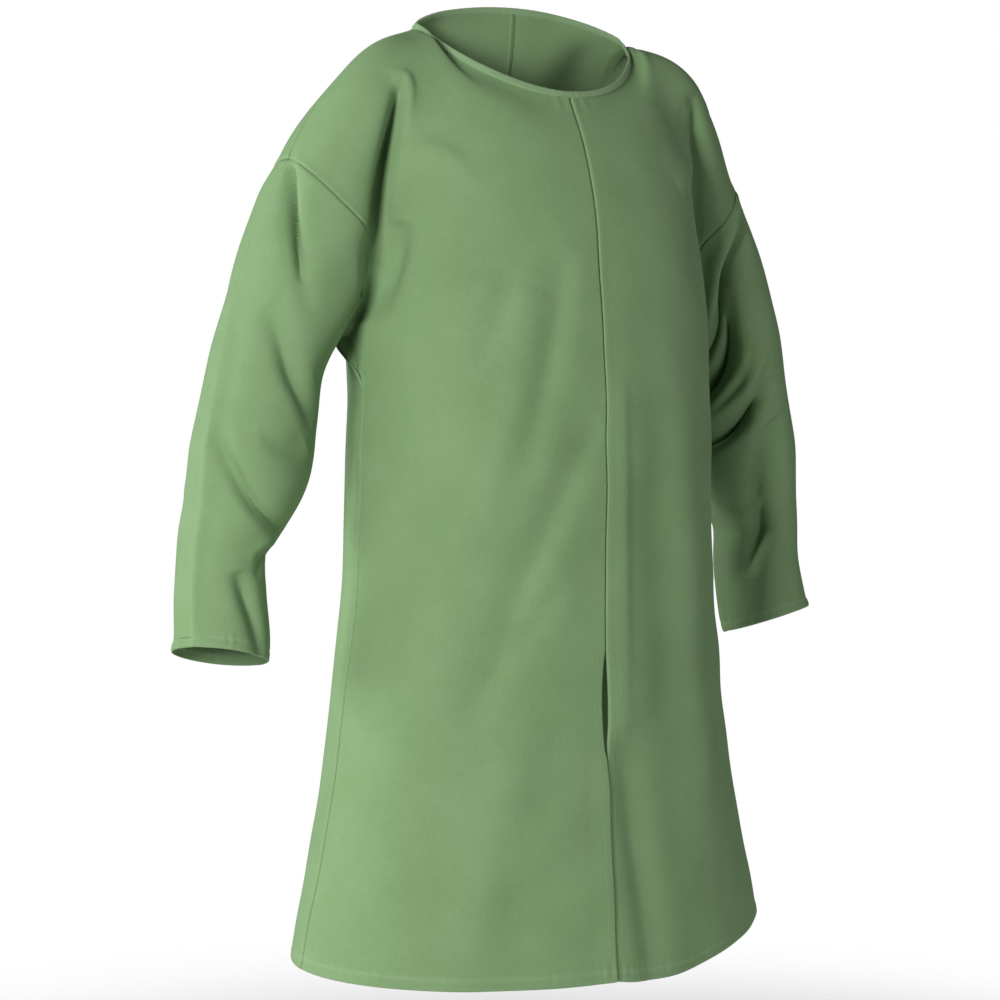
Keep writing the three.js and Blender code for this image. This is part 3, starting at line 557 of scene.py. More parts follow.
# below the slit's top the two edges first part and then lap, the wearer's right over the left
SLIT_PART = 8.5
SLIT_LAP = 3.0
PART_END = 0.34
LAP_START = 0.3
LAP_OVER = 0.12
LEFT_BACK = 0.9
RIGHT_FORWARD = 1.9
for side in (-1, 1):
    points = panels["front", side]
    share = np.clip((SLIT_TOP - points[:, 0, 2]) / (SLIT_TOP - HEM_SIDE), 0, 1)
    parted = np.where(share < PART_END, np.sin(np.pi * np.clip(share / PART_END, 0, 1)) ** 0.8, 0) * SLIT_PART
    lapped = np.clip((share - LAP_START) / LAP_OVER, 0, 1)
    out = side * parted / 2 + SLIT_LAP * lapped * (0.6 if side > 0 else 1)
    back = (0.15 * parted + LEFT_BACK * lapped) if side > 0 else -RIGHT_FORWARD * lapped
    move = np.stack([out, back, 0 * out], -1)
    points += move[:, None] * eased(runs(points, 1), SLIT_EASE)[..., None]

# ------------------------------------------------------------------ sleeves
# Each sleeve is one tube of the same cotton, set on to the dropped shoulder and hemmed at the cuff. It bends
# at the elbow, where the cloth stacks up in folds on its inner side, and a crease is pressed down its outside.

SLEEVE_TURNS = 168
SLEEVE_RINGS = 200
CUFF_RINGS = 9
CUFF_BAND = 14.0
ARM_RADIUS = 62.0
ARC = math.radians(1) * ARM_RADIUS
SLEEVE_LENGTH = 530.0
SLEEVE_EASE = 36
SEAM_SHARE = 0.16

# from degrees, from share, by degrees, by share, to degrees, to share, half width, depth, lean
SLEEVE_FOLDS = {
    -1: [
        (2, -0.01, 24, 0.09, 62, 0.18, 4.8, -16, 0.0),
        (2, -0.02, 30, 0.11, 78, 0.2, 12, -6, 0.0),
        (132, 0.0, 140, 0.12, 128, 0.26, 14, -7, 0.0),
        (-28, -0.02, -20, 0.08, -14, 0.26, 24, 5, 0.0),
        (42, 0.27, 84, 0.31, 128, 0.36, 20, -9, 0.2),
        (-12, 0.22, 20, 0.56, 30, 1.04, 8, 5.5, 0.5),
        (20, 0.5, 72, 0.63, 150, 0.58, 12, -9, 0.2),
        (50, 0.58, 90, 0.625, 146, 0.59, 5, -4, 0.2),
        (140, 0.64, 116, 0.67, 98, 0.76, 8, 3, 0.0),
        (146, 0.72, 128, 0.72, 112, 0.8, 7, -4, 0.0),
        (84, 0.79, 100, 0.88, 122, 1.02, 13, -9, 0.0),
        (176, 0.5, 220, 0.52, 262, 0.57, 13, -8, 0.0),
        (196, 0.2, 250, 0.25, 300, 0.32, 18, -6, 0.0),
        (120, 0.42, 100, 0.47, 70, 0.5, 12, -4, 0.0),
        (200, 0.66, 240, 0.7, 280, 0.68, 14, -5, 0.0),
    ],
    1: [
        (26, 0.0, 84, 0.065, 144, 0.085, 10, 9, 0.2),
        (36, 0.035, 90, 0.105, 166, 0.12, 13, -14, 0.0),
        (50, 0.045, 96, 0.11, 160, 0.12, 5, -10, 0.0),
        (84, 0.12, 128, 0.185, 178, 0.25, 13, -15, 0.2),
        (100, 0.14, 132, 0.19, 178, 0.25, 5, -9, 0.2),
        (92, 0.2, 130, 0.25, 178, 0.32, 11, 8, 0.0),
        (80, 0.35, 128, 0.385, 176, 0.39, 15, -16, 0.2),
        (96, 0.36, 132, 0.39, 176, 0.395, 5, -8, 0.2),
        (92, 0.44, 116, 0.64, 146, 0.88, 22, -20, 0.0),
        (86, 0.27, 120, 0.3, 164, 0.32, 11, 7, 0.0),
        (184, 0.5, 226, 0.53, 268, 0.58, 14, -8, 0.0),
        (200, 0.18, 252, 0.23, 304, 0.3, 18, -6, 0.0),
        (96, 0.6, 130, 0.63, 160, 0.58, 10, 5, 0.0),
    ],
}


def ring_point(lengths, degrees, stations):
    """Points round the arm at given lengths along it: superellipses square to its line."""
    far = stations["length"]
    pick = {name: np.stack([np.interp(lengths, far, values[:, k]) for k in range(values.shape[1])], -1)
            for name, values in stations.items() if name != "length"}
    c, s = np.cos(np.radians(degrees)), np.sin(np.radians(degrees))
    power = 2 / ARM_SQUARENESS
    outward = np.sign(c) * np.abs(c) ** power * pick["half"][..., 0]
    forward = np.sign(s) * np.abs(s) ** power * pick["half"][..., 1]
    return pick["middle"] + pick["outward"] * outward[..., None] + pick["forward"] * forward[..., None]


def sleeve_points():
    """Rings from the seam to the cuff for the left sleeve, each point a number of degrees round the arm."""
    line = arm_line(400)
    middle = line[:, [0, 2, 1]]
    along = np.gradient(middle, axis=0)
    along /= np.linalg.norm(along, axis=1)[:, None]
    outward = np.cross([0, -1, 0], along)
    outward /= np.linalg.norm(outward, axis=1)[:, None]
    length = np.concatenate([[0], np.cumsum(np.linalg.norm(np.diff(middle, axis=0), axis=1))])
    stations = {"length": length, "middle": middle, "outward": outward, "forward": np.cross(along, outward),
                "half": line[:, 3:5]}
    degrees = np.arange(SLEEVE_TURNS) * 360 / SLEEVE_TURNS
    seam = sleeve_seam(degrees)
    ends = [length[np.hypot(middle[:, 0] - p[0], middle[:, 2] - p[2]).argmin()]
            for p in (seam[0], seam[SLEEVE_TURNS // 2])]
    starts = (ends[0] + ends[1]) / 2 + (ends[0] - ends[1]) / 2 * np.cos(np.radians(degrees))
    shift = seam - ring_point(starts, degrees, stations)
    cuff_start = 1 - CUFF_BAND / SLEEVE_LENGTH
    shares = np.concatenate([np.linspace(0, cuff_start, SLEEVE_RINGS - CUFF_RINGS + 1),
                             np.linspace(cuff_start, 1, CUFF_RINGS)[1:]])
    lengths = starts + (length[-1] - starts) * shares[:, None]
    rings = ring_point(lengths, degrees + 0 * lengths, stations)
    return rings + shift * bell(shares[:, None, None] / SEAM_SHARE), degrees, shares


def panel_edge(side, degrees):
    """The fronts' and backs' own edge at those degrees of the sleeve seam, by their finished points."""
    front, back = panels["front", side][:UNDER_ROW + 1, -1], panels["back", side][:UNDER_ROW + 1, -1]
    places = np.concatenate([YOKE_DOWN * 180, 360 - YOKE_DOWN[::-1][1:] * 180])
    edge = np.concatenate([front, back[::-1][1:]])
    return np.stack([np.interp(degrees, places, edge[:, k]) for k in range(3)], -1)


rings, sleeve_degrees, sleeve_shares = sleeve_points()
FOLD_SCALE = np.array([ARC, SLEEVE_LENGTH] * 3 + [1, 1, 1])
sleeves = {}
for side in (-1, 1):
    points = rings * np.array([side, 1, 1])
    normal = normals_of(points, side, closed=True)
    around, along = np.meshgrid(sleeve_degrees, sleeve_shares * SLEEVE_LENGTH)
    height = drape(points)
    for fold in SLEEVE_FOLDS[side]:
        turned = fold[2] + (around - fold[2] + 180) % 360 - 180
        height = height + fold_height(turned * ARC, along, FOLD_SCALE * fold)
    points = points + normal * height[..., None]
    points += (panel_edge(side, sleeve_degrees) - points[0]) * eased(runs(points, 0), SLEEVE_EASE)[..., None]
    sleeves[side] = points

# ------------------------------------------------------------------ seams, hems and the cloth's wall
# Every seam is sewn from inside and pressed flat, so each edge rolls into a fine groove with a low ridge of
# turned cloth beside it. Hems and slit edges are turned up and stitched, which puckers the cloth a little.

WALL = 1.3
ROLL = 1.7
HEM_WIDTH = 12.0
CUFF_HEM = 10.0


def rolled(distance):
    """A seam's edge rolled in: a quarter circle that drops by its radius at the edge."""
    t = np.clip(1 - distance / ROLL, 0, 1)
    return -ROLL * (1 - np.sqrt(1 - t**2))


def puckers(run, distance, reach, height, pitch=9.0):
    """Small uneven ripples along a line of sewing that die away from it."""
    ripple = np.sin(run * 2 * math.pi / pitch) + 0.7 * np.sin(run * 2 * math.pi / (pitch * 1.37) + 1.1)
    ripple = ripple * (0.6 + 0.4 * np.sin(run * 2 * math.pi / (pitch * 6.1)))
    return height * ripple * bell(distance / reach)


def hem_height(distance, width):
    """The turned-up hem: a step of one more layer, and the groove that its stitching pulls at its top."""
    step = 0.5 / (1 + np.exp((distance - width - 1.0) / 0.9))
    return step - 0.7 * bell((distance - width) / 1.3)


def add_mesh(name, vertices, faces, material, uv=None, wear=None):
    """A mesh object from millimetre points and faces, with its cloth's own lengths as a UV map."""
    mesh = bpy.data.meshes.new(name)
    mesh.from_pydata((vertices * MM).tolist(), [], faces.tolist())
    mesh.polygons.foreach_set("use_smooth", np.ones(len(faces), bool))
    if uv is not None:
        corners = np.empty(len(mesh.loops), np.int32)
        mesh.loops.foreach_get("vertex_index", corners)
        layer = mesh.uv_layers.new(name="cloth")
        layer.data.foreach_set("uv", (uv[corners] * MM).astype(np.float32).ravel())
    if wear is not None:
        attribute = mesh.attributes.new("wear", "FLOAT", "POINT")
        attribute.data.foreach_set("value", wear.astype(np.float32))
    mesh.materials.append(material)
    piece = bpy.data.objects.new(name, mesh)
    bpy.context.scene.collection.objects.link(piece)
    return piece


def cloth_wall(name, outer, inner, closed, flip, material, uv, wear):
    """A closed wall: the outer grid, the inner grid and strips along the edges, its faces outwards."""
    rows, columns = outer.shape[:2]
    index = np.arange(rows * columns).reshape(rows, columns)
    if closed:
        index = np.concatenate([index, index[:, :1]], axis=1)
    deep = index + rows * columns

    def quads(a, b, c, d):
        return np.stack([a.ravel(), b.ravel(), c.ravel(), d.ravel()], -1)

    faces = [quads(index[:-1, :-1], index[1:, :-1], index[1:, 1:], index[:-1, 1:]),
             quads(deep[:-1, :-1], deep[:-1, 1:], deep[1:, 1:], deep[1:, :-1]),
             quads(index[0, :-1], index[0, 1:], deep[0, 1:], deep[0, :-1]),
             quads(index[-1, 1:], index[-1, :-1], deep[-1, :-1], deep[-1, 1:])]
    if not closed:
        faces += [quads(index[1:, 0], index[:-1, 0], deep[:-1, 0], deep[1:, 0]),
                  quads(index[:-1, -1], index[1:, -1], deep[1:, -1], deep[:-1, -1])]
    faces = np.concatenate(faces)
    if flip:
        faces = faces[:, ::-1]
    vertices = np.concatenate([outer.reshape(-1, 3), inner.reshape(-1, 3)])
    doubled = [np.concatenate([values.reshape(rows * columns, -1)] * 2) for values in (uv, wear)]
    return add_mesh(name, vertices, faces, material, uv=doubled[0], wear=doubled[1][:, 0])


# ------------------------------------------------------------------ green cotton canvas
# Piece-dyed heavy cotton twill: matt, a little fuzzy, so it lightens at grazing angles. Its threads are about
# half a millimetre, too fine to show, so the twill is drawn at twice that, with slubs and an uneven dye.


def linear(hex_colour):
    """sRGB hex to linear red, green, blue and an alpha of 1."""
    parts = [int(hex_colour[k:k + 2], 16) / 255 for k in (1, 3, 5)]
    return [p / 12.92 if p <= 0.04045 else ((p + 0.055) / 1.055) ** 2.4 for p in parts] + [1.0]


def add_node(tree, kind, settings=None, fed_by=None):
    """Adds a node: settings are its properties or its sockets' values, fed_by its sockets' source sockets."""
    node = tree.nodes.new(kind)
    for key, value in (settings or {}).items():
        if isinstance(key, int) or key in node.inputs:
            node.inputs[key].default_value = value
        else:
            setattr(node, key, value)
    for key, source in (fed_by or {}).items():
        tree.links.new(source, node.inputs[key])
    return node


def new_material(name):
    """An empty node material and its node tree."""
    material = bpy.data.materials.new(name)
    material.use_nodes = True
    material.node_tree.nodes.clear()
    return material, material.node_tree


TWILL_SPACING = 1.1
TWILL_DEGREES = 55
SLUB_LENGTH = 16.0
SLUB_WIDTH = 1.0
FLECK_SHARE = 0.15
TWILL_SHARE = 0.35


def stretched_noise(tree, where, scale):
    """Noise drawn out along one thread of the cloth, in metres of its own surface."""
    grain = add_node(tree, "ShaderNodeMapping", {"Scale": scale}, {"Vector": where})
    return add_node(tree, "ShaderNodeTexNoise", {"Scale": 1.0, "Detail": 3.0, "Roughness": 0.6},
                    {"Vector": grain.outputs["Vector"]}).outputs["Fac"]


def cotton(name, colour, light_colour, shade_colour):
    """Green cotton: two dye tones mixed by soft noise, lighter where worn, with twill lines and slubs."""
    material, tree = new_material(name)
    where = add_node(tree, "ShaderNodeUVMap", {"uv_map": "cloth"}).outputs["UV"]
    place = add_node(tree, "ShaderNodeTexCoord").outputs["Object"]
    cloud = add_node(tree, "ShaderNodeTexNoise", {"Scale": 14.0, "Detail": 4.0, "Roughness": 0.6},
                     {"Vector": place})
    slub = stretched_noise(tree, where, (1000 / SLUB_WIDTH, 1000 / SLUB_LENGTH, 1.0))
    weft = stretched_noise(tree, where, (1000 / SLUB_LENGTH, 1000 / SLUB_WIDTH, 1.0))
    turned = add_node(tree, "ShaderNodeMapping", {
        "Rotation": (0.0, 0.0, math.radians(TWILL_DEGREES)), "Scale": (1000.0, 1000.0, 1000.0),
    }, {"Vector": where})
    twill = add_node(tree, "ShaderNodeTexWave", {
        "Scale": 1 / TWILL_SPACING / 2, "Distortion": 1.2, "Detail": 1.0,
    }, {"Vector": turned.outputs["Vector"]})
    dye = add_node(tree, "ShaderNodeMapRange", {"From Min": 0.3, "From Max": 0.7},
                   {"Value": cloud.outputs["Fac"]})
    base = add_node(tree, "ShaderNodeMix", {"data_type": "RGBA", 6: linear(shade_colour), 7: linear(colour)},
                    {"Factor": dye.outputs["Result"]})
    threads = add_node(tree, "ShaderNodeMath", {"operation": "ADD"}, {0: slub, 1: weft}).outputs["Value"]
    fleck = add_node(tree, "ShaderNodeMapRange", {
        "From Min": 0.8, "From Max": 1.2, "To Min": 0.0, "To Max": FLECK_SHARE}, {"Value": threads})
    worn = add_node(tree, "ShaderNodeAttribute", {"attribute_name": "wear"})
    rubbed = add_node(tree, "ShaderNodeMath", {"operation": "ADD", "use_clamp": True},
                      {0: fleck.outputs["Result"], 1: worn.outputs["Fac"]})
    flecked = add_node(tree, "ShaderNodeMix", {"data_type": "RGBA", 7: linear(light_colour)},
                       {"Factor": rubbed.outputs["Value"], 6: base.outputs[2]})
    relief = add_node(tree, "ShaderNodeMath", {"operation": "MULTIPLY_ADD", 1: TWILL_SHARE},
                      {0: twill.outputs["Fac"], 2: threads})
    bump = add_node(tree, "ShaderNodeBump", {"Strength": 0.45, "Distance": 0.0004},
                    {"Height": relief.outputs["Value"]})
    shader = add_node(tree, "ShaderNodeBsdfPrincipled", {
        "Roughness": 0.86, "IOR": 1.47, "Specular IOR Level": 0.3, "Sheen Weight": 0.18,
        "Sheen Roughness": 0.5, "Sheen Tint": linear(light_colour),
    }, {"Base Color": flecked.outputs[2], "Normal": bump.outputs["Normal"]})
    add_node(tree, "ShaderNodeOutputMaterial", None, {"Surface": shader.outputs["BSDF"]})
    return material


canvas = cotton("green_cotton_twill", "#739065", "#8fa984", "#6b895c")


# heights and widths of the turned cloth beside the seams, and of the crease pressed across the right front
MIDDLE_RIDGE = 0.35
MIDDLE_ALLOWANCE = 8
SIDE_RIDGE = 0.55
SIDE_ALLOWANCE = 9
CREASE_DEPTH = 0.5
CREASE_PLACE = (-90, -568)
CREASE_REACH = (130, 2.5)
RUBBED_HEM, RUBBED_EDGE, RUBBED_SEAM = 0.25, 0.2, 0.1

finished = {}
for face, side in PANELS:
    points = panels[face, side]
    normal = panel_normals(face, side, points)
    across, down = runs(points, 1), runs(points, 0)
    to_side, to_hem = across[:, -1:] - across, down[-1:] - down
    is_neck = (ACROSS <= NECK_SHARE)[None, :]
    # the allowances are pressed to the wearer's left in the middle, and to the back at the sides
    over_middle, over_side = float(side > 0), float(face == "back")
    height = rolled(across) + rolled(to_side) + np.where(is_neck, 0, 0.3 * rolled(down))
    height += over_middle * MIDDLE_RIDGE * (
        1 / (1 + np.exp((across - MIDDLE_ALLOWANCE) / 1.6)) - eased(across, 1.5))
    height += over_side * SIDE_RIDGE / (1 + np.exp((to_side - SIDE_ALLOWANCE) / 0.8))
    height += puckers(down, across, 9, 0.16, 11) + puckers(down, to_side, 9, 0.2, 12)
    height += hem_height(to_hem, HEM_WIDTH) + puckers(across, to_hem - HEM_WIDTH, 9, 0.3, 10)
    height += rolled(to_hem) * 0.5
    if face == "front":
        height += np.where(is_neck, puckers(across, down, 18, 0.35, 13) * bell((across - 24) / 40), 0)
        height -= (CREASE_DEPTH * bell((points[..., 0] - CREASE_PLACE[0]) / CREASE_REACH[0])
                   * bell((points[..., 2] - CREASE_PLACE[1]) / CREASE_REACH[1]))
    outer = points + normal * (WALL + height[..., None])
    inner = outer - normal * WALL
    wear = RUBBED_HEM * bell((to_hem - HEM_WIDTH) / 2.0) + RUBBED_EDGE * bell(to_hem / 2.0)
    wear += RUBBED_SEAM * (bell((across - 4) / 2.0) * over_middle + bell((to_side - 3) / 2.5) * over_side)
    uv = np.stack([across * side, down[UNDER_ROW:UNDER_ROW + 1] - down], -1)
    name = f"{face}_{'right' if side < 0 else 'left'}"
    flip = (side if face == "back" else -side) < 0
    piece = cloth_wall(name + "_panel", outer, inner, False, flip, canvas, uv, wear)
    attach(piece, "root")
    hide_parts(name)
    finished[face, side] = {"outer": outer, "normal": normal, "across": across, "to_hem": to_hem}

finished_sleeves = {}
for side in (-1, 1):
    points = sleeves[side]
    normal = normals_of(points, side, closed=True)
    along = runs(points, 0)
    to_cuff = along[-1:] - along
    around = sleeve_degrees[None, :] * ARC + 0 * along
    height = rolled(along) + puckers(around, along, 8, 0.12, 12)
    height += hem_height(to_cuff, CUFF_HEM) + puckers(around, to_cuff - CUFF_HEM, 8, 0.3, 10)
    height += rolled(to_cuff) * 0.5
    outer = points + normal * (WALL + height[..., None])
    inner = outer - normal * WALL
    wear = RUBBED_HEM * bell((to_cuff - CUFF_HEM) / 2.0) + RUBBED_EDGE * bell(to_cuff / 2.0)
    uv = np.stack([around, -along], -1)
    name = "sleeve_right" if side < 0 else "sleeve_left"
    piece = cloth_wall(name + "_tube", outer, inner, True, side < 0, canvas, uv, wear)
    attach(piece, "root")
    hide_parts(name)
    finished_sleeves[side] = {"outer": outer, "normal": normal, "to_cuff": to_cuff}

# ------------------------------------------------------------------ neck binding
# A bias strip of the same cotton, folded over the raw neckline and stitched down, about 8 mm wide and 3 mm
# thick. Stretching it round the curve leaves it slightly lighter, and gathers it in small puckers.

BINDING_WIDTH = 8.0
BINDING_WALL = 3.2
BINDING_PROUD = 1.5
BINDING_HOLD = 1.6
BINDING_SIDES = 20
BINDING_WEAR = 0.1


def neck_edge():
    """The neckline all the way round from the panels' own top edges: points and normals."""
    order = [("front", 1, 1), ("back", 1, -1), ("back", -1, 1), ("front", -1, -1)]
    points, normals = [], []
    for face, side, way in order:
        row = finished[face, side]
        points.append(panels[face, side][0, :NECK_COLUMNS][::way][:-1])
        normals.append(row["normal"][0, :NECK_COLUMNS][::way][:-1])
    return np.concatenate(points), np.concatenate(normals)


def smoothed_round(values, passes):
    """A closed run of vectors, evened out along itself."""
    for _ in range(passes):
        values = (np.roll(values, 1, axis=0) + 2 * values + np.roll(values, -1, axis=0)) / 4
    return values


edge, edge_normal = neck_edge()
edge_normal = smoothed_round(edge_normal, 12)
edge_normal /= np.linalg.norm(edge_normal, axis=1)[:, None]
tangent = np.roll(edge, -1, axis=0) - np.roll(edge, 1, axis=0)
tangent /= np.linalg.norm(tangent, axis=1)[:, None]
inward = np.array([0, (NECK_FRONT_Y + NECK_BACK_Y) / 2, 0]) - edge
inward[:, 2] = 0
inward /= np.linalg.norm(inward, axis=1)[:, None]
wanted = np.array([0, 0, 1]) + inward * (0.2 + 0.3 * np.abs(edge[:, :1]) / NECK_HALF_WIDTH)
wanted -= tangent * (wanted * tangent).sum(1)[:, None]
wanted -= edge_normal * (wanted * edge_normal).sum(1)[:, None]
flat = smoothed_round(wanted / np.linalg.norm(wanted, axis=1)[:, None], 6)
edge_run = np.concatenate([[0], np.cumsum(np.linalg.norm(np.diff(edge, axis=0), axis=1))])

section = np.linspace(0, 2 * np.pi, BINDING_SIDES, endpoint=False)
round_out = np.sign(np.sin(section)) * np.abs(np.sin(section)) ** 0.7
round_up = np.sign(np.cos(section)) * np.abs(np.cos(section)) ** 0.7
gathers = puckers(edge_run, 0 * edge_run, 1.0, 0.22, 7.0)
half_wall = BINDING_WALL / 2 + gathers
half_width = BINDING_WIDTH / 2 + 0.25 * np.sin(edge_run / 23) + 0.5 * gathers
centre = edge + flat * (BINDING_WIDTH / 2 - BINDING_HOLD)
centre += edge_normal * (WALL + BINDING_PROUD - BINDING_WALL / 2)
binding_grid = (centre[:, None] + flat[:, None] * (half_width[:, None] * round_up)[..., None]
                + edge_normal[:, None] * (half_wall[:, None] * round_out)[..., None])


def closed_tube(grid):
    """Faces of a tube whose rows and columns both join up."""
    rows, columns = grid.shape[:2]
    index = np.arange(rows * columns).reshape(rows, columns)
    next_row, next_column = np.roll(index, -1, axis=0), np.roll(index, -1, axis=1)
    corner = np.roll(next_row, -1, axis=1)
    return np.stack([index.ravel(), next_row.ravel(), corner.ravel(), next_column.ravel()], -1)


tape = cotton("green_cotton_bias_tape", "#7a976c", "#97b08c", "#749167")
tape_uv = np.stack([np.broadcast_to(edge_run[:, None], binding_grid.shape[:2]),
                    np.broadcast_to(section[None] * BINDING_WALL, binding_grid.shape[:2])], -1).reshape(-1, 2)
binding = add_mesh("neck_binding_tape", binding_grid.reshape(-1, 3), closed_tube(binding_grid), tape,
                   tape_uv, np.full(len(tape_uv), BINDING_WEAR))
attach(binding, "root")
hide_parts("neck_binding")

# ------------------------------------------------------------------ stitching
# Lockstitch in matching thread: about 3 mm stitches, 0.7 mm thick, half sunk in the cloth, along the hem,
# both cuffs, both edges of the slit and the lower edge of the binding.

STITCH = 3.0
STITCH_GAP = 0.7
THREAD = 0.34
SPINDLE_SIDES = 6
SPINDLE_RINGS = 5
SPINDLE_POINTS = SPINDLE_SIDES * SPINDLE_RINGS
SLIT_STITCH = 9.0


def sewing_thread():
    """Spun polyester thread, dyed to match: a little smoother and lighter than the cotton."""
    material, tree = new_material("green_sewing_thread")
    shader = add_node(tree, "ShaderNodeBsdfPrincipled", {
        "Base Color": linear("#839d76"), "Roughness": 0.6, "IOR": 1.5, "Sheen Weight": 0.1})
    add_node(tree, "ShaderNodeOutputMaterial", None, {"Surface": shader.outputs["BSDF"]})
    return material


thread = sewing_thread()


def stitches_along(path, normals):
    """Short capsules laid end to end along a path, each a six-sided spindle of five rings."""
    far = np.concatenate([[0], np.cumsum(np.linalg.norm(np.diff(path, axis=0), axis=1))])
    count = int(far[-1] / (STITCH + STITCH_GAP))
    starts = (np.arange(count) + 0.5) * far[-1] / count
    rise = np.array([0.15, 0.8, 1.0, 0.8, 0.15])
    step = np.linspace(-0.5, 0.5, SPINDLE_RINGS) * STITCH
    at = starts[:, None] + step
    middle = np.stack([np.interp(at, far, path[:, k]) for k in range(3)], -1)
    up = np.stack([np.interp(at, far, normals[:, k]) for k in range(3)], -1)
    along = np.gradient(middle, axis=1)
    beside = np.cross(along, up)
    beside /= np.linalg.norm(beside, axis=-1, keepdims=True)
    turn = np.arange(SPINDLE_SIDES) * 2 * np.pi / SPINDLE_SIDES
    lift = (rise * 0.25 - 0.1)[None, :, None]
    ring = (middle + up * lift)[:, :, None] + (
        up[:, :, None] * np.sin(turn)[:, None] + beside[:, :, None] * np.cos(turn)[:, None]
    ) * (THREAD * rise)[None, :, None, None]
    index = np.arange(SPINDLE_POINTS).reshape(SPINDLE_RINGS, SPINDLE_SIDES)
    across = np.roll(index, -1, axis=1)
    quads = np.stack([index[:-1], index[1:], across[1:], across[:-1]], -1).reshape(-1, 4)
    caps = np.array([[0, 1, 2, 3], [0, 3, 4, 5], [27, 26, 25, 24], [29, 28, 27, 24]])
    one = np.concatenate([quads, caps])
    faces = (one[None] + (np.arange(count) * SPINDLE_POINTS)[:, None, None]).reshape(-1, 4)
    return ring.reshape(-1, 3), faces


def line_at(grids, distance, wanted):
    """The line across each grid at a wanted distance, found in each column between its rows."""
    row = np.clip((distance > wanted).sum(0) - 1, 0, len(distance) - 2)
    pick = np.arange(distance.shape[1])
    t = (distance[row, pick] - wanted) / (distance[row, pick] - distance[row + 1, pick] + TINY)
    return [grid[row, pick] * (1 - t[:, None]) + grid[row + 1, pick] * t[:, None] for grid in grids]


def round_again(line):
    """A line that ends where it starts."""
    return np.concatenate([line, line[:1]])


def stitching(name, lines):
    """One piece of sewing from several lines of points with normals."""
    vertices, faces, first = [], [], 0
    for path, normals in lines:
        ring, quads = stitches_along(path, normals)
        vertices.append(ring)
        faces.append(quads + first)
        first += len(ring)
    piece = add_mesh(name, np.concatenate(vertices), np.concatenate(faces), thread)
    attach(piece, "root")


hem_lines, slit_lines = [], []
for face, side in PANELS:
    part = finished[face, side]
    line, line_normal = line_at((part["outer"], part["normal"]), part["to_hem"], HEM_WIDTH)
    hem_lines.append((line[2:-2], line_normal[2:-2]))
    if face == "front":
        outer, normal, across = (np.swapaxes(part[key], 0, 1)[::-1] for key in ("outer", "normal", "across"))
        line, line_normal = line_at((outer, normal), across, SLIT_STITCH)
        below = (line[:, 2] < SLIT_TOP + 8) & (line[:, 2] > HEM_SIDE + 4)
        slit_lines.append((line[below], line_normal[below]))
stitching("hem_stitching", hem_lines + slit_lines)

cuff_lines = []
for part in finished_sleeves.values():
    lines = line_at((part["outer"], part["normal"]), part["to_cuff"], CUFF_HEM)
    cuff_lines.append([round_again(line) for line in lines])
stitching("cuff_stitching", cuff_lines)

low_edge = centre - flat * (BINDING_WIDTH / 2 - 1.4) + edge_normal * (BINDING_WALL / 2 + 0.05)
stitching("neck_stitching", [(round_again(low_edge), round_again(edge_normal))])

# ------------------------------------------------------------------ studio
# A plain pale floor well below the hem, a soft window of light at the camera's left, a second one farther
# round that lights the outside of the near sleeve, and weak ones from the front, the far side and above. The
# camera stands at the height of the tunic's chest.


def soft_light(name, place, size, power):
    """A square area light that faces the middle of the tunic."""
    data = bpy.data.lights.new(name, "AREA")
    data.size = size
    data.energy = power
    lamp = bpy.data.objects.new(name, data)
    towards = np.array(TUNIC_MIDDLE) - np.array(place)
    towards /= np.linalg.norm(towards)
    lamp.location = place
    lamp.rotation_euler = (math.acos(-towards[2]), 0.0, math.atan2(towards[1], towards[0]) - math.pi / 2)
    bpy.context.scene.collection.objects.link(lamp)


TUNIC_MIDDLE = (0.0, 0.0, -0.45)
FLOOR_HEIGHT = -1450.0
FLOOR_REACH = 1900.0
FLOOR_FADE_FROM = 0.7
floor_material, tree = new_material("pale_floor")
floor_place = add_node(tree, "ShaderNodeTexCoord").outputs["Object"]
level_place = add_node(tree, "ShaderNodeVectorMath", {"operation": "MULTIPLY", 1: (1.0, 1.0, 0.0)},
                       {0: floor_place})
from_middle = add_node(tree, "ShaderNodeVectorMath", {"operation": "LENGTH"},
                       {0: level_place.outputs["Vector"]})
fading = add_node(tree, "ShaderNodeMapRange", {
    "interpolation_type": "SMOOTHERSTEP", "From Min": FLOOR_FADE_FROM, "From Max": FLOOR_REACH * MM,
    "To Min": 1.0, "To Max": 0.0}, {"Value": from_middle.outputs["Value"]})
floor_shader = add_node(tree, "ShaderNodeBsdfPrincipled", {
    "Base Color": linear("#f6f6f6"), "Roughness": 0.9, "Specular IOR Level": 0.1,
}, {"Alpha": fading.outputs["Result"]})
add_node(tree, "ShaderNodeOutputMaterial", None, {"Surface": floor_shader.outputs["BSDF"]})
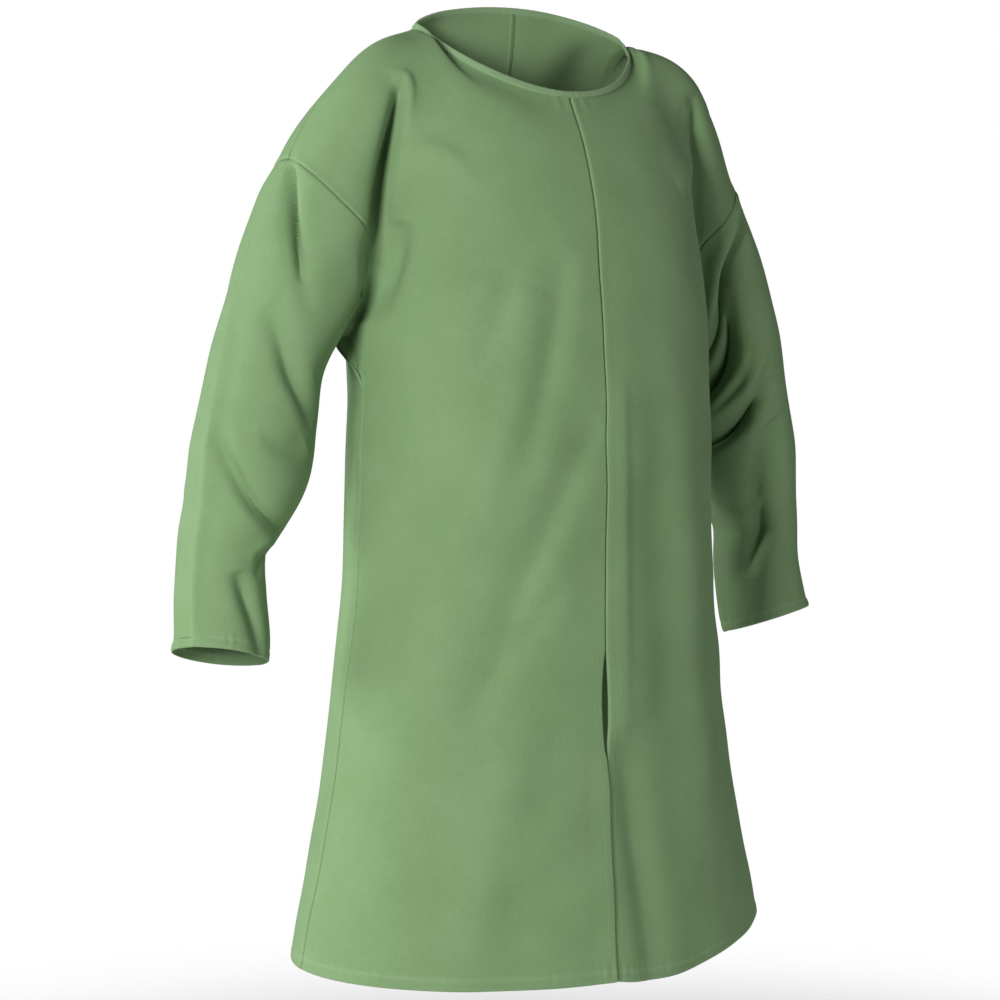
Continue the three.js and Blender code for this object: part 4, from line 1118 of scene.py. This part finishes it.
floor_corners = np.array([[-1, -1, 0], [1, -1, 0], [1, 1, 0], [-1, 1, 0]]) * FLOOR_REACH
floor_corners += [0, 0, FLOOR_HEIGHT]
floor = add_mesh("studio_floor", floor_corners, np.array([[0, 1, 2, 3]]), floor_material)

world = bpy.data.worlds.new("white_studio")
world.use_nodes = True
tree = world.node_tree
tree.nodes.clear()
seen = add_node(tree, "ShaderNodeBackground", {"Color": (1.0, 1.0, 1.0, 1.0), "Strength": 1.0})
lighting = add_node(tree, "ShaderNodeBackground", {"Color": (0.95, 0.98, 1.0, 1.0), "Strength": 0.05})
paths = add_node(tree, "ShaderNodeLightPath")
choose = add_node(tree, "ShaderNodeMixShader", None, {
    0: paths.outputs["Is Camera Ray"], 1: lighting.outputs["Background"], 2: seen.outputs["Background"]})
add_node(tree, "ShaderNodeOutputWorld", None, {"Surface": choose.outputs["Shader"]})
bpy.context.scene.world = world

CAMERA_TURN = math.radians(31.0)
CAMERA_PAN = math.radians(0.488)
CAMERA_TILT_DOWN = math.radians(3.53)
CAMERA_DISTANCE = 2.6
CAMERA_HEIGHT = -0.35
camera_data = bpy.data.cameras.new("camera")
camera_data.sensor_width = 36.0
camera_data.lens = 84.5
camera = bpy.data.objects.new("camera", camera_data)
camera.location = (-CAMERA_DISTANCE * math.sin(CAMERA_TURN),
                   -CAMERA_DISTANCE * math.cos(CAMERA_TURN), CAMERA_HEIGHT)
camera.rotation_euler = (math.pi / 2 - CAMERA_TILT_DOWN, 0.0, CAMERA_PAN - CAMERA_TURN)
bpy.context.scene.collection.objects.link(camera)
bpy.context.scene.camera = camera

soft_light("window_light", (-2.7, -1.6, 0.15), 1.0, 106)
soft_light("front_light", (1.0, -3.6, -0.9), 1.8, 30)
soft_light("side_light", (-2.7, 2.2, 0.0), 1.0, 90)
soft_light("far_light", (2.9, -0.9, 0.4), 1.6, 15)
soft_light("top_light", (-0.6, -0.4, 2.6), 1.6, 4)
bpy.context.scene.view_settings.view_transform = "Standard"
